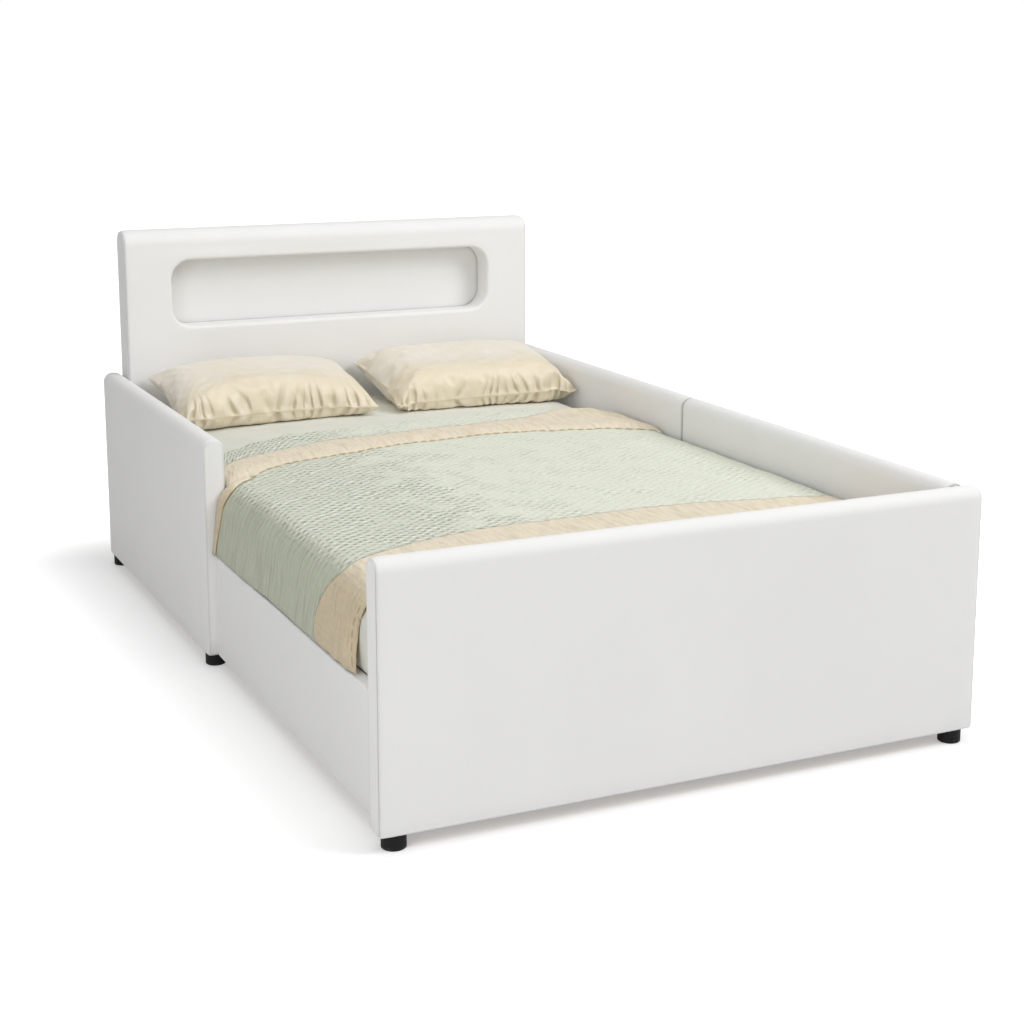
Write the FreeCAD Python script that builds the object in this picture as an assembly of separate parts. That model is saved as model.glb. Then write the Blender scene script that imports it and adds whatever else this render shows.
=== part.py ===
import FreeCAD, Part
import math
import os

# Upholstered bed: padded panels round a sleeping well, a slatted base, and the bedding that lies in it.
# Millimetres. +Z is up, +Y points to the headboard, and the origin is on the floor under the bed's middle.

V = FreeCAD.Vector

# Mattress, which sets the size of the sleeping well
mattress_width = 1200.0
mattress_length = 2000.0
mattress_depth = 187.0
mattress_crown = 12.0
mattress_top_radius = 30.0
mattress_corner_radius = 60.0
mattress_end_lift = 1.0
well_clearance = 10.0

# Heights above the floor
foot_height = 30.0
slat_top = 250.0
rail_top = 273.0
guard_top = 550.0
headboard_top = 950.0

# Padded guards and footboard
panel_thickness = 55.0
panel_padding = 12.0
panel_crown_flat = 3.0
panel_crown_padding = 14.0
head_guard_length = 1033.0
seam_bevel = 4.0

# Headboard and its niche
headboard_thickness = 90.0
headboard_padding = 12.0
headboard_crown_flat = 10.0
headboard_back_thickness = 6.0
niche_width = 960.0
niche_height = 186.0
niche_border = 86.0
niche_corner_radius = 55.0
niche_lip_radius = 8.0
niche_wall = 10.0
niche_back_thickness = 9.0
liner_clearance = 0.2

# Low rail on the open side
rail_thickness = 31.0
rail_padding = 5.0
rail_edge_radius = 3.0

# Timber frames inside the panels
board_height = 215.0
frame_stile = 45.0
frame_top_rail = 45.0
guard_bays = 3
footboard_bays = 4
headboard_bays = 3

# Ledgers that carry the slats
ledger_size = 30.0
ledger_end_gap = 20.0

# Steel brackets, plates and hangers, and the heads of the bolts that hold them
steel_gauge = 3.0
bracket_leg = 55.0
bracket_height = 110.0
bracket_lift = 30.0
bracket_bolt_inset = 32.0
bracket_bolt_margin = 25.0
plate_corner_radius = 8.0
joining_plate_length = 200.0
joining_plate_height = 90.0
joining_bolt_margin = 22.0
joining_bolt_spacing = 45.0
hanger_width = 120.0
hanger_height = 64.0
hanger_reach = 45.0
hanger_bolt_margin = 16.0
bolt_head_radius = 7.5
bolt_head_height = 5.0

# Centre beam and its legs
beam_width = 40.0
beam_depth = 70.0
beam_clearance = 0.5
sleeve_length = 260.0
sleeve_cheek = 45.0
leg_spacing = 500.0
leg_width = 45.0
leg_foot_bevel = 5.0

# Slats and the webbing that spaces them
slat_count = 12
slat_width = 100.0
slat_thickness = 18.0
slat_edge_bevel = 4.0
slat_end_gap = 6.0
slat_row_margin = 15.0
strap_width = 30.0
strap_thickness = 1.5
strap_offset = 320.0

# Round feet
foot_radius = 24.0
foot_chamfer = 2.0
foot_inset = 37.0

# Bedding
sheet_thickness = 2.0
sheet_hem_lift = 12.0
bedding_gap = 0.3
quilt_thickness = 12.0
quilt_foot_gap = 135.0
quilt_head_gap = 605.0
quilt_fold = 172.0
quilt_bow = 90.0
quilt_edge_inset = 2.0
quilt_shoulder_reach = 22.0
quilt_shoulder_drop = 38.0
quilt_hem_gap = 4.0
quilt_end_gap = 4.0
quilt_fill = 6.0
pillow_depth = 358.0
pillow_thickness = 150.0
pillow_tilt = 15.5
pillow_settle = 8.0
pillow_wall_gap = 6.0
pillow_middle_gap = 45.0
pillow_right_gap = 10.0
pillow_left_gap = 45.0
pillow_end_draw = 12.0

# Counts of sections along the bedding's forms, and shares that shape them
quilt_sections = 9
hang_sections = 13
hang_folds = 3
pillow_sections = 9
hang_flare_share = 0.99
hang_fold_share = 0.14
shoulder_bend_share = 0.28
pillow_waist_share = 0.07
pillow_tip_share = 0.06
pillow_fullness_share = 0.6
pillow_belly_share = 0.45
pillow_belly_drop_share = 0.8

# How far cutting shapes run past the faces they cut, and how near counts as the same place
overrun = 5.0
nearness = 0.01

# Places that follow from the sizes
well_width = mattress_width + 2 * well_clearance
well_length = mattress_length + 2 * well_clearance
bed_width = well_width + 2 * panel_thickness
bed_length = well_length + panel_thickness + headboard_thickness
inner_x = well_width / 2
outer_x = bed_width / 2
rear_y = bed_length / 2
front_y = -rear_y
headboard_front_y = rear_y - headboard_thickness
footboard_rear_y = front_y + panel_thickness
well_middle_y = (headboard_front_y + footboard_rear_y) / 2
split_y = rear_y - head_guard_length
foot_panel_length = split_y - footboard_rear_y
beam_top = slat_top - slat_thickness
beam_bottom = beam_top - beam_depth
ledger_base = beam_top - ledger_size - foot_height
sheet_grow = bedding_gap + sheet_thickness
quilt_span = well_length - quilt_foot_gap - quilt_head_gap
pillow_width = (well_width - pillow_left_gap - pillow_middle_gap - pillow_right_gap) / 2
eighth_turn = math.pi / 4


def line(start, end):
    """Straight edge between two points."""
    return Part.LineSegment(start, end).toShape()


def arc(start, middle, end):
    """Round edge through three points."""
    return Part.Arc(start, middle, end).toShape()


def block(low, high):
    """Rectangular solid between two corners."""
    size = high - low
    return Part.makeBox(size.x, size.y, size.z, low)


def moved(shape, x, y, z):
    """Copy of a shape shifted by x, y and z."""
    copy = shape.copy()
    copy.translate(V(x, y, z))
    return copy


def placed(shape, corner, turn):
    """Copy of a shape turned about Z by a number of degrees and set with its own origin on a corner."""
    copy = shape.copy()
    copy.Placement = FreeCAD.Placement(corner, FreeCAD.Rotation(V(0, 0, 1), turn)) * shape.Placement
    return copy


def straight_edges(shape, direction):
    """Edges of a shape whose two ends differ along one direction only."""
    chosen = []
    for edge in shape.Edges:
        if len(edge.Vertexes) == 2:
            run = edge.Vertexes[1].Point - edge.Vertexes[0].Point
            if run.cross(direction).Length < nearness:
                chosen.append(edge)
    return chosen


def upper_edges(shape, direction, height):
    """Straight edges of a shape along one direction that lie at a height or above it."""
    return [edge for edge in straight_edges(shape, direction) if edge.BoundBox.ZMin > height - nearness]


def edges_where(shape, test):
    """Edges of a shape all of whose end points pass a test."""
    return [edge for edge in shape.Edges if all(test(vertex.Point) for vertex in edge.Vertexes)]


def rounded_plate(width, height, radius, thickness):
    """Plate in the XZ plane with round corners, centred on the origin and thickness deep along +Y."""
    plate = block(V(-width / 2, 0, -height / 2), V(width / 2, thickness, height / 2))
    return plate.makeFillet(radius, straight_edges(plate, V(0, 1, 0)))


def arch(length, thickness, height, flat):
    """Bar along X whose section is an upright arch: two straight sides under a crown with a small flat."""
    radius = (thickness - flat) / 2
    spring = height - radius
    inset = radius * (1 - math.cos(eighth_turn))
    rise = radius * math.sin(eighth_turn)
    near = [V(0, 0, 0), V(0, 0, spring), V(0, inset, spring + rise), V(0, radius, height)]
    far = [V(0, thickness - point.y, point.z) for point in near]
    edges = [
        line(near[0], near[1]),
        arc(near[1], near[2], near[3]),
        line(near[3], far[3]),
        arc(far[3], far[2], far[1]),
        line(far[1], far[0]),
        line(far[0], near[0]),
    ]
    bar = Part.Face(Part.Wire(edges)).extrude(V(length, 0, 0))
    ends = edges_where(bar, lambda p: abs(p.x) < nearness)
    ends += edges_where(bar, lambda p: abs(p.x - length) < nearness)
    seams = [edge for edge in ends if edge.BoundBox.ZMax > nearness]
    return bar.makeChamfer(seam_bevel, seams)


def padded_cover(length, height, padding):
    """Padded cover of a guard or footboard: an arch, hollow for its frame and open underneath."""
    low = V(padding, padding, -overrun)
    high = V(length - padding, panel_thickness - padding, height - panel_crown_padding)
    return arch(length, panel_thickness, height, panel_crown_flat).cut(block(low, high))


def bay_windows(low, high, bays):
    """Openings between the stiles of a frame: equal bays from low to high, right through along Y."""
    pitch = (high.x - low.x + frame_stile) / bays
    windows = []
    for bay in range(bays):
        left = low.x + bay * pitch
        right = left + pitch - frame_stile
        windows.append(block(V(left, low.y - overrun, low.z), V(right, high.y + overrun, high.z)))
    return windows


def ladder_frame(length, height, padding, bays):
    """Timber frame that fills a cover: a deep lower board, upright stiles and a top rail."""
    low = V(padding, padding, 0)
    high = V(length - padding, panel_thickness - padding, height - panel_crown_padding)
    inner_low = V(low.x + frame_stile, low.y, board_height)
    inner_high = V(high.x - frame_stile, high.y, high.z - frame_top_rail)
    return block(low, high).cut(bay_windows(inner_low, inner_high, bays))


def bolt_head():
    """Hexagon bolt head, its underside on the XZ plane and its top towards -Y."""
    corners = []
    for corner in range(6):
        angle = corner * math.pi / 3
        corners.append(V(bolt_head_radius * math.cos(angle), 0, bolt_head_radius * math.sin(angle)))
    return Part.Face(Part.makePolygon(corners + corners[:1])).extrude(V(0, -bolt_head_height, 0))


nodes = {}
bolts = []


def fit_out(name, cover, frame, corner, turn, bolt_points):
    """Set a panel's cover and frame in place, with bolt heads at points (x, z) of its inner face."""
    nodes[name + "_cover"] = placed(cover, corner, turn)
    nodes[name + "_frame"] = placed(frame, corner, turn)
    for x, z in bolt_points:
        bolts.append(placed(moved(bolt_head(), x, -steel_gauge, z), corner, turn))


def bracket_bolts(x):
    """The two bolts, one above the other, of a corner bracket at x along a panel."""
    low = bracket_lift + bracket_bolt_margin
    high = bracket_lift + bracket_height - bracket_bolt_margin
    return [(x, low), (x, high)]


def joining_bolts(near_x, direction):
    """The bolts of a joining plate, from the panel's end at near_x inwards along direction."""
    far = joining_plate_length / 2 - joining_bolt_margin
    z = bracket_lift + joining_plate_height / 2
    return [(near_x + direction * (far - joining_bolt_spacing), z), (near_x + direction * far, z)]


def ledger(name, start, end, corner, turn):
    """Ledger strip along a panel's inner face from start to end."""
    low = V(start, -ledger_size, ledger_base)
    nodes[name] = placed(block(low, V(end, 0, ledger_base + ledger_size)), corner, turn)


def side_panels():
    """Three guards and the low rail, with their ledgers and bolts."""
    height = guard_top - foot_height
    length = head_guard_length
    clear = headboard_thickness + ledger_end_gap
    bracket_x = headboard_thickness + bracket_bolt_inset
    guard = padded_cover(length, height, panel_padding)
    frame = ladder_frame(length, height, panel_padding, guard_bays)

    corner = V(-inner_x, split_y, foot_height)
    points = bracket_bolts(length - bracket_x) + joining_bolts(0, 1)
    ledger("left_head_ledger", ledger_end_gap, length - clear, corner, 90)
    fit_out("left_head_guard", guard, frame, corner, 90, points)

    corner = V(inner_x, rear_y, foot_height)
    points = bracket_bolts(bracket_x) + joining_bolts(length, -1)
    ledger("right_head_ledger", clear, length - ledger_end_gap, corner, -90)
    fit_out("right_head_guard", guard, frame, corner, -90, points)

    length = foot_panel_length
    guard = padded_cover(length, height, panel_padding)
    frame = ladder_frame(length, height, panel_padding, guard_bays)

    corner = V(inner_x, split_y, foot_height)
    points = bracket_bolts(length - bracket_bolt_inset) + joining_bolts(0, 1)
    ledger("right_foot_ledger", ledger_end_gap, length - ledger_end_gap, corner, -90)
    fit_out("right_foot_guard", guard, frame, corner, -90, points)

    corner = V(-inner_x, footboard_rear_y, foot_height)
    points = bracket_bolts(bracket_bolt_inset) + joining_bolts(length, -1)
    ledger("left_foot_ledger", ledger_end_gap, length - ledger_end_gap, corner, 90)
    fit_out("left_foot_rail", rail_cover(length), rail_core(length, 0), corner, 90, points)


def rail_core(length, drop):
    """Board inside the low rail, from drop below the rail's base."""
    low = V(rail_padding, rail_padding, -drop)
    high = V(length - rail_padding, rail_thickness - rail_padding, rail_top - foot_height - rail_padding)
    return block(low, high)


def rail_cover(length):
    """Thinly padded cover of the low rail, with crisp edges, open underneath."""
    height = rail_top - foot_height
    outer = block(V(0, 0, 0), V(length, rail_thickness, height))
    rounded = outer.makeFillet(rail_edge_radius, upper_edges(outer, V(1, 0, 0), height))
    return rounded.cut(rail_core(length, overrun))


def footboard():
    """Footboard across the full width."""
    height = guard_top - foot_height
    left_corner = bed_width - panel_thickness
    points = bracket_bolts(panel_thickness + bracket_bolt_inset) + bracket_bolts(left_corner - bracket_bolt_inset)
    cover = padded_cover(bed_width, height, panel_padding)
    frame = ladder_frame(bed_width, height, panel_padding, footboard_bays)
    corner = V(outer_x, footboard_rear_y, foot_height)
    fit_out("footboard", cover, frame, corner, 180, points + hanger_bolts(bed_width / 2))


def feet():
    """Round feet, in pairs, under the footboard's ends and under both ends of the head guards."""
    body = Part.makeCylinder(foot_radius, foot_height)
    rims = [edge for edge in body.Edges if edge.BoundBox.ZMax < nearness]
    body = body.makeChamfer(foot_chamfer, rims)
    side_x = inner_x + panel_thickness / 2
    places = {
        "front_feet": (outer_x - foot_inset, footboard_rear_y - panel_thickness / 2),
        "middle_feet": (side_x, split_y + foot_inset),
        "rear_feet": (side_x, rear_y - foot_inset),
    }
    for name, (x, y) in places.items():
        nodes[name] = Part.makeCompound([moved(body, -x, y, 0), moved(body, x, y, 0)])


def headboard():
    """Headboard between the guards, with its niche."""
    corner = V(-inner_x, headboard_front_y, foot_height)
    height = headboard_top - foot_height
    spring = height - (headboard_thickness - headboard_crown_flat) / 2
    niche_x = well_width / 2
    niche_top = height - niche_border
    niche_z = niche_top - niche_height / 2
    back_y = headboard_thickness - headboard_back_thickness
    liner_width = niche_width + 2 * niche_wall
    liner_height = niche_height + 2 * niche_wall
    liner_radius = niche_corner_radius + niche_wall

    outer = arch(well_width, headboard_thickness, height, headboard_crown_flat)
    low = V(headboard_padding, headboard_padding, -overrun)
    high = V(well_width - headboard_padding, headboard_thickness + overrun, spring)
    mouth = rounded_plate(niche_width, niche_height, niche_corner_radius, headboard_thickness)
    cover = outer.cut([block(low, high), moved(mouth, niche_x, -overrun, niche_z)])

    def on_lip(point):
        """Tell whether a point lies on the niche's front edge."""
        inside = abs(point.x - niche_x) < niche_width / 2 + nearness
        level = abs(point.z - niche_z) < niche_height / 2 + nearness
        return inside and level and abs(point.y) < nearness

    cover = cover.makeFillet(niche_lip_radius, edges_where(cover, on_lip))

    low = V(headboard_padding, headboard_padding, 0)
    high = V(well_width - headboard_padding, back_y, spring)
    inner_low = V(low.x + frame_stile, low.y, board_height)
    inner_high = V(high.x - frame_stile, high.y, niche_z - liner_height / 2 - frame_top_rail)
    fit = 2 * liner_clearance
    socket = rounded_plate(liner_width + fit, liner_height + fit, liner_radius + liner_clearance, headboard_thickness)
    openings = bay_windows(inner_low, inner_high, headboard_bays) + [moved(socket, niche_x, 0, niche_z)]
    frame = block(low, high).cut(openings)

    points = bracket_bolts(bracket_bolt_inset) + bracket_bolts(well_width - bracket_bolt_inset)
    fit_out("headboard", cover, frame, corner, 0, points + hanger_bolts(well_width / 2))

    panel_y = back_y - niche_back_thickness
    shell = rounded_plate(liner_width, liner_height, liner_radius, panel_y - headboard_padding)
    liner = moved(shell, niche_x, headboard_padding, niche_z).cut(moved(mouth, niche_x, 0, niche_z))
    panel = rounded_plate(liner_width, liner_height, liner_radius, niche_back_thickness)
    nodes["niche_liner"] = placed(liner, corner, 0)
    nodes["niche_back_panel"] = placed(moved(panel, niche_x, panel_y, niche_z), corner, 0)
    back = block(V(low.x, back_y, 0), V(high.x, headboard_thickness, spring))
    nodes["headboard_back_panel"] = placed(back, corner, 0)


def corner_brackets():
    """Folded steel angles in the four inner corners of the well."""
    leg = bracket_leg
    outline = [V(0, 0, 0), V(leg, 0, 0), V(leg, steel_gauge, 0), V(steel_gauge, steel_gauge, 0),
               V(steel_gauge, leg, 0), V(0, leg, 0)]
    angle = Part.Face(Part.makePolygon(outline + outline[:1])).extrude(V(0, 0, bracket_height))
    tips = [e for e in straight_edges(angle, V(0, 1, 0)) if e.BoundBox.XMin > leg - nearness]
    tips += [e for e in straight_edges(angle, V(1, 0, 0)) if e.BoundBox.YMin > leg - nearness]
    angle = angle.makeFillet(plate_corner_radius, tips)
    base = foot_height + bracket_lift
    nodes["front_left_bracket"] = placed(angle, V(-inner_x, footboard_rear_y, base), 0)
    nodes["front_right_bracket"] = placed(angle, V(inner_x, footboard_rear_y, base), 90)
    nodes["rear_right_bracket"] = placed(angle, V(inner_x, headboard_front_y, base), 180)
    nodes["rear_left_bracket"] = placed(angle, V(-inner_x, headboard_front_y, base), 270)


def joining_plates():
    """Flat plates across the two seams where the side panels meet."""
    plate = rounded_plate(joining_plate_length, joining_plate_height, plate_corner_radius, steel_gauge)
    plate = moved(plate, 0, -steel_gauge, bracket_lift + joining_plate_height / 2)
    left = placed(plate, V(-inner_x, split_y, foot_height), 90)
    right = placed(plate, V(inner_x, split_y, foot_height), -90)
    nodes["joining_plates"] = Part.makeCompound([left, right])


def hanger_level():
    """Height of the hangers' flange middle above the panels' base."""
    return beam_bottom + hanger_height / 2 - foot_height


def hanger_bolts(middle_x):
    """The two bolts of a beam hanger, either side of middle_x along a panel."""
    offset = hanger_width / 2 - hanger_bolt_margin
    return [(middle_x - offset, hanger_level()), (middle_x + offset, hanger_level())]


def saddle(length, cheek):
    """U-shaped channel that the beam drops into, along Y from the origin, its seat on the XY plane."""
    half = beam_width / 2 + beam_clearance
    outer = block(V(-half - steel_gauge, 0, -steel_gauge), V(half + steel_gauge, length, cheek))
    return outer.cut(block(V(-half, -overrun, 0), V(half, length + overrun, cheek + overrun)))


def centre_beam():
    """Beam in two halves under the slats, with its hangers, sleeve and legs."""
    half = beam_width / 2
    gap = steel_gauge + beam_clearance
    rear_end = headboard_front_y - gap
    front_end = footboard_rear_y + gap
    nodes["head_beam"] = block(V(-half, well_middle_y, beam_bottom), V(half, rear_end, beam_top))
    nodes["foot_beam"] = block(V(-half, front_end, beam_bottom), V(half, well_middle_y, beam_top))

    flange = rounded_plate(hanger_width, hanger_height, plate_corner_radius, steel_gauge)
    flange = moved(flange, 0, -steel_gauge, hanger_height / 2)
    cheek = hanger_height - plate_corner_radius
    seat = saddle(hanger_reach + steel_gauge, cheek)
    hanger = flange.fuse(moved(seat, 0, -steel_gauge - hanger_reach, 0)).removeSplitter()
    rear = placed(hanger, V(0, headboard_front_y, beam_bottom), 0)
    front = placed(hanger, V(0, footboard_rear_y, beam_bottom), 180)
    nodes["beam_hangers"] = Part.makeCompound([rear, front])

    sleeve = saddle(sleeve_length, sleeve_cheek)
    nodes["beam_sleeve"] = moved(sleeve, 0, well_middle_y - sleeve_length / 2, beam_bottom)

    nodes["foot_centre_leg"] = moved(centre_leg(beam_bottom), 0, well_middle_y - leg_spacing, 0)
    nodes["middle_centre_leg"] = moved(centre_leg(beam_bottom - steel_gauge), 0, well_middle_y, 0)
    nodes["head_centre_leg"] = moved(centre_leg(beam_bottom), 0, well_middle_y + leg_spacing, 0)


def centre_leg(height):
    """Square leg under the beam, with its foot bevelled all round."""
    half = leg_width / 2
    leg = block(V(-half, -half, 0), V(half, half, height))
    return leg.makeChamfer(leg_foot_bevel, edges_where(leg, lambda p: p.z < nearness))


def slats():
    """Row of slats on the ledgers, and the two straps under them."""
    half = inner_x - slat_end_gap
    slat = block(V(-half, -slat_width / 2, beam_top), V(half, slat_width / 2, slat_top))
    slat = slat.makeChamfer(slat_edge_bevel, upper_edges(slat, V(1, 0, 0), slat_top))
    first = footboard_rear_y + slat_row_margin + slat_width / 2
    last = headboard_front_y - slat_row_margin - slat_width / 2
    pitch = (last - first) / (slat_count - 1)
    for place in range(slat_count):
        nodes["slat_%02d" % (place + 1)] = moved(slat, 0, first + place * pitch, 0)
    straps = []
    for x in (-strap_offset, strap_offset):
        low = V(x - strap_width / 2, first, beam_top - strap_thickness)
        straps.append(block(low, V(x + strap_width / 2, last, beam_top)))
    nodes["slat_straps"] = Part.makeCompound(straps)


def crown_height(x, grow):
    """Height of the mattress's crowned top, grown outwards by grow, at x from the middle."""
    half = mattress_width / 2 + grow
    radius = (half ** 2 + mattress_crown ** 2) / (2 * mattress_crown)
    fall = radius - math.sqrt(radius ** 2 - x ** 2)
    return slat_top + mattress_depth + grow + mattress_crown - fall


def mattress_form(grow):
    """Mattress with a crowned top and soft edges, grown outwards by grow everywhere but at its base.

    It is what three forms share: a crowned bar with round long edges, a block with round end edges that
    stand a little above the crown, and a block with round upright corners.
    """
    half = mattress_width / 2 + grow
    front = well_middle_y - mattress_length / 2 - grow
    rear = well_middle_y + mattress_length / 2 + grow
    edge_z = slat_top + mattress_depth + grow
    top_z = edge_z + mattress_crown
    low = [V(-half, front, slat_top), V(half, front, slat_top)]
    high = [V(half, front, edge_z), V(0, front, top_z), V(-half, front, edge_z)]
    edges = [line(low[0], low[1]), line(low[1], high[0]), arc(*high), line(high[2], low[0])]
    crowned = Part.Face(Part.Wire(edges)).extrude(V(0, rear - front, 0))
    box = block(low[0], V(half, rear, top_z + mattress_end_lift))
    radius = mattress_top_radius + grow
    crowned = crowned.makeFillet(radius, upper_edges(crowned, V(0, 1, 0), edge_z))
    ended = box.makeFillet(radius, upper_edges(box, V(1, 0, 0), top_z))
    cornered = box.makeFillet(mattress_corner_radius + grow, straight_edges(box, V(0, 0, 1)))
    return crowned.common(ended).common(cornered)


def fitted_sheet():
    """Thin sheet over the top and sides of the mattress, open underneath."""
    shell = mattress_form(sheet_grow).cut(mattress_form(bedding_gap))
    low = V(-outer_x, front_y, slat_top - overrun)
    return shell.cut(block(low, V(outer_x, rear_y, slat_top + sheet_hem_lift)))


def quilt():
    """Quilt with its head end folded back, one side hanging over the low rail."""
    foot_y = footboard_rear_y + quilt_foot_gap
    half = mattress_width / 2 - quilt_edge_inset
    top = quilt_thickness
    sections = []
    for place in range(quilt_sections):
        share = 2 * place / (quilt_sections - 1) - 1
        x = share * half
        base = crown_height(x, sheet_grow + bedding_gap)
        crest = foot_y + quilt_span - quilt_bow * share ** 2
        nose = crest - quilt_thickness
        hem = crest - quilt_fold
        low_bend = quilt_thickness * (1 - math.sin(eighth_turn))
        nose_bend = nose + quilt_thickness * math.cos(eighth_turn)
        sections.append(Part.Wire([
            line(V(x, foot_y, base), V(x, nose, base)),
            arc(V(x, nose, base), V(x, nose_bend, base + low_bend), V(x, crest, base + top)),
            arc(V(x, crest, base + top), V(x, nose_bend, base + 2 * top - low_bend), V(x, nose, base + 2 * top)),
            line(V(x, nose, base + 2 * top), V(x, hem, base + 2 * top)),
            line(V(x, hem, base + 2 * top), V(x, hem, base + top)),
            line(V(x, hem, base + top), V(x, foot_y, base + top)),
            line(V(x, foot_y, base + top), V(x, foot_y, base)),
        ]))
    spread = Part.makeLoft(sections, True, True)

    base = crown_height(half, sheet_grow + bedding_gap)
    hem_z = rail_top + quilt_hem_gap
    run = split_y - quilt_end_gap - foot_y
    sections = []
    for place in range(hang_sections):
        share = place / (hang_sections - 1)
        y = foot_y + share * run
        fold = (1 - math.cos(2 * math.pi * hang_folds * share)) / 2
        hem_x = -inner_x - (hang_flare_share - hang_fold_share * fold) * rail_thickness
        outer = [V(-half, y, base + top), V(-half - quilt_shoulder_reach, y, base + top - quilt_shoulder_drop),
                 V(hem_x, y, hem_z)]
        inner_reach = quilt_shoulder_reach - quilt_thickness
        inner = [V(-half, y, base), V(-half - inner_reach, y, base - quilt_shoulder_drop + top),
                 V(hem_x + quilt_thickness, y, hem_z)]
        sections.append(Part.Wire([
            line(inner[0], outer[0]),
            arc(outer[0], shoulder_point(outer[0], outer[1]), outer[1]),
            arc(outer[1], swell_point(outer[1], outer[2]), outer[2]),
            line(outer[2], inner[2]),
            arc(inner[2], swell_point(inner[1], inner[2]), inner[1]),
            arc(inner[1], shoulder_point(inner[0], inner[1]), inner[0]),
        ]))
    hang = Part.makeLoft(sections, True, True)
    return spread.fuse(hang)


def shoulder_point(high, low):
    """Middle of the bend where the quilt turns down over the mattress's edge."""
    out = high.x + (low.x - high.x) * (1 - shoulder_bend_share)
    down = high.z + (low.z - high.z) * shoulder_bend_share
    return V(out, high.y, down)


def swell_point(high, low):
    """Middle of the quilt's hanging side, which swells outwards a little."""
    middle = (high + low) / 2
    return V(middle.x - quilt_fill, middle.y, middle.z)


def pillow(middle_x):
    """Filled pillow with pointed corners and drawn-in sides, leaning up towards the headboard."""
    half = pillow_width / 2
    sections = []
    for place in range(pillow_sections):
        along = math.sin(math.pi * (place / (pillow_sections - 1) - 1 / 2))
        roundness = max(0, 1 - along ** 2)
        x = along * half
        reach = (1 - pillow_waist_share * roundness) * pillow_depth / 2
        swell = pillow_tip_share + (1 - pillow_tip_share) * roundness ** pillow_fullness_share
        rise = swell * pillow_thickness / 2
        front = V(x, -reach, 0)
        rear = V(x, reach, 0)
        belly = [V(x, pillow_belly_share * reach, -pillow_belly_drop_share * rise)]
        belly.append(V(x, -belly[0].y, belly[0].z))
        sections.append(Part.Wire([
            arc(front, V(x, 0, rise), rear),
            line(rear, belly[0]),
            line(belly[0], belly[1]),
            line(belly[1], front),
        ]))
    form = Part.makeLoft(sections, True, True)
    draw_radius = ((pillow_depth / 2) ** 2 + pillow_end_draw ** 2) / (2 * pillow_end_draw)
    for side in (-1, 1):
        centre = V(side * (half - pillow_end_draw + draw_radius), 0, -pillow_thickness)
        form = form.cut(Part.makeCylinder(draw_radius, 2 * pillow_thickness, centre))
    tilt = math.radians(pillow_tilt)
    y = headboard_front_y - pillow_wall_gap - math.cos(tilt) * pillow_depth / 2
    rest = crown_height(middle_x, sheet_grow + bedding_gap)
    z = rest + math.cos(tilt) * pillow_thickness / 2 - pillow_settle
    form.rotate(V(0, 0, 0), V(1, 0, 0), pillow_tilt)
    form.translate(V(middle_x, y, z))
    return form.cut(mattress_form(sheet_grow + bedding_gap))


def bedding():
    """Mattress, fitted sheet, quilt and two pillows."""
    nodes["mattress"] = mattress_form(0)
    nodes["fitted_sheet"] = fitted_sheet()
    nodes["quilt"] = quilt()
    right_x = inner_x - pillow_right_gap - pillow_width / 2
    nodes["right_pillow"] = pillow(right_x)
    nodes["left_pillow"] = pillow(right_x - pillow_width - pillow_middle_gap)


def build():
    """Model every piece and write each node to its own file."""
    side_panels()
    footboard()
    headboard()
    feet()
    corner_brackets()
    joining_plates()
    centre_beam()
    slats()
    bedding()
    nodes["frame_bolts"] = Part.makeCompound(bolts)
    os.makedirs("parts", exist_ok=True)
    for name, shape in nodes.items():
        shape.exportStep("parts/" + name + ".step")


build()
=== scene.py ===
"""Dressed model of an upholstered bed: padded covers, a headboard with a niche, and its bedding.

Metres. +Z is up, +Y points to the headboard, and the origin is on the floor under the bed's middle.
"""

import logging
import math
from dataclasses import dataclass
from enum import Enum
from functools import lru_cache
from typing import Any, Optional, Union

import bmesh
import bpy
import numpy as np
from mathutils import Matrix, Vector


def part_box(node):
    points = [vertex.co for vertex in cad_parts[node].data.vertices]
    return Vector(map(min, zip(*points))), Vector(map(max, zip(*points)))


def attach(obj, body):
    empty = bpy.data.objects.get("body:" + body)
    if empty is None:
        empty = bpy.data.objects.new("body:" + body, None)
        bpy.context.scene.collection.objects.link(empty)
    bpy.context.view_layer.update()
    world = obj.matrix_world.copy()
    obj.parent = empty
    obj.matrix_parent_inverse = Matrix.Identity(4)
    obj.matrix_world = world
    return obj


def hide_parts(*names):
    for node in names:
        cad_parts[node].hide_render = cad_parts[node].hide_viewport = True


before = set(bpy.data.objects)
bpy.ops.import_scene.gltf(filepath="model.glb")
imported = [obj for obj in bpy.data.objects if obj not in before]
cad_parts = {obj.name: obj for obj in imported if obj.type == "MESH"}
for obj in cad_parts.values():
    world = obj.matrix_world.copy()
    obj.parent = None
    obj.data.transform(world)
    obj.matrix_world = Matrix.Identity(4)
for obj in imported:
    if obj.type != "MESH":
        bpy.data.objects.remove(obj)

log = logging.getLogger("bed")

Array = np.ndarray
Piece = bpy.types.Object
Triple = tuple[float, float, float]
Colour = Triple
Span = tuple[float, float]
Series = tuple[float, ...]
Stops = tuple[Span, ...]
Marks = dict[str, Array]

SLATS = tuple("slat_%02d" % number for number in range(1, 13))
NEAR = 1e-6


# Shader maths


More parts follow.
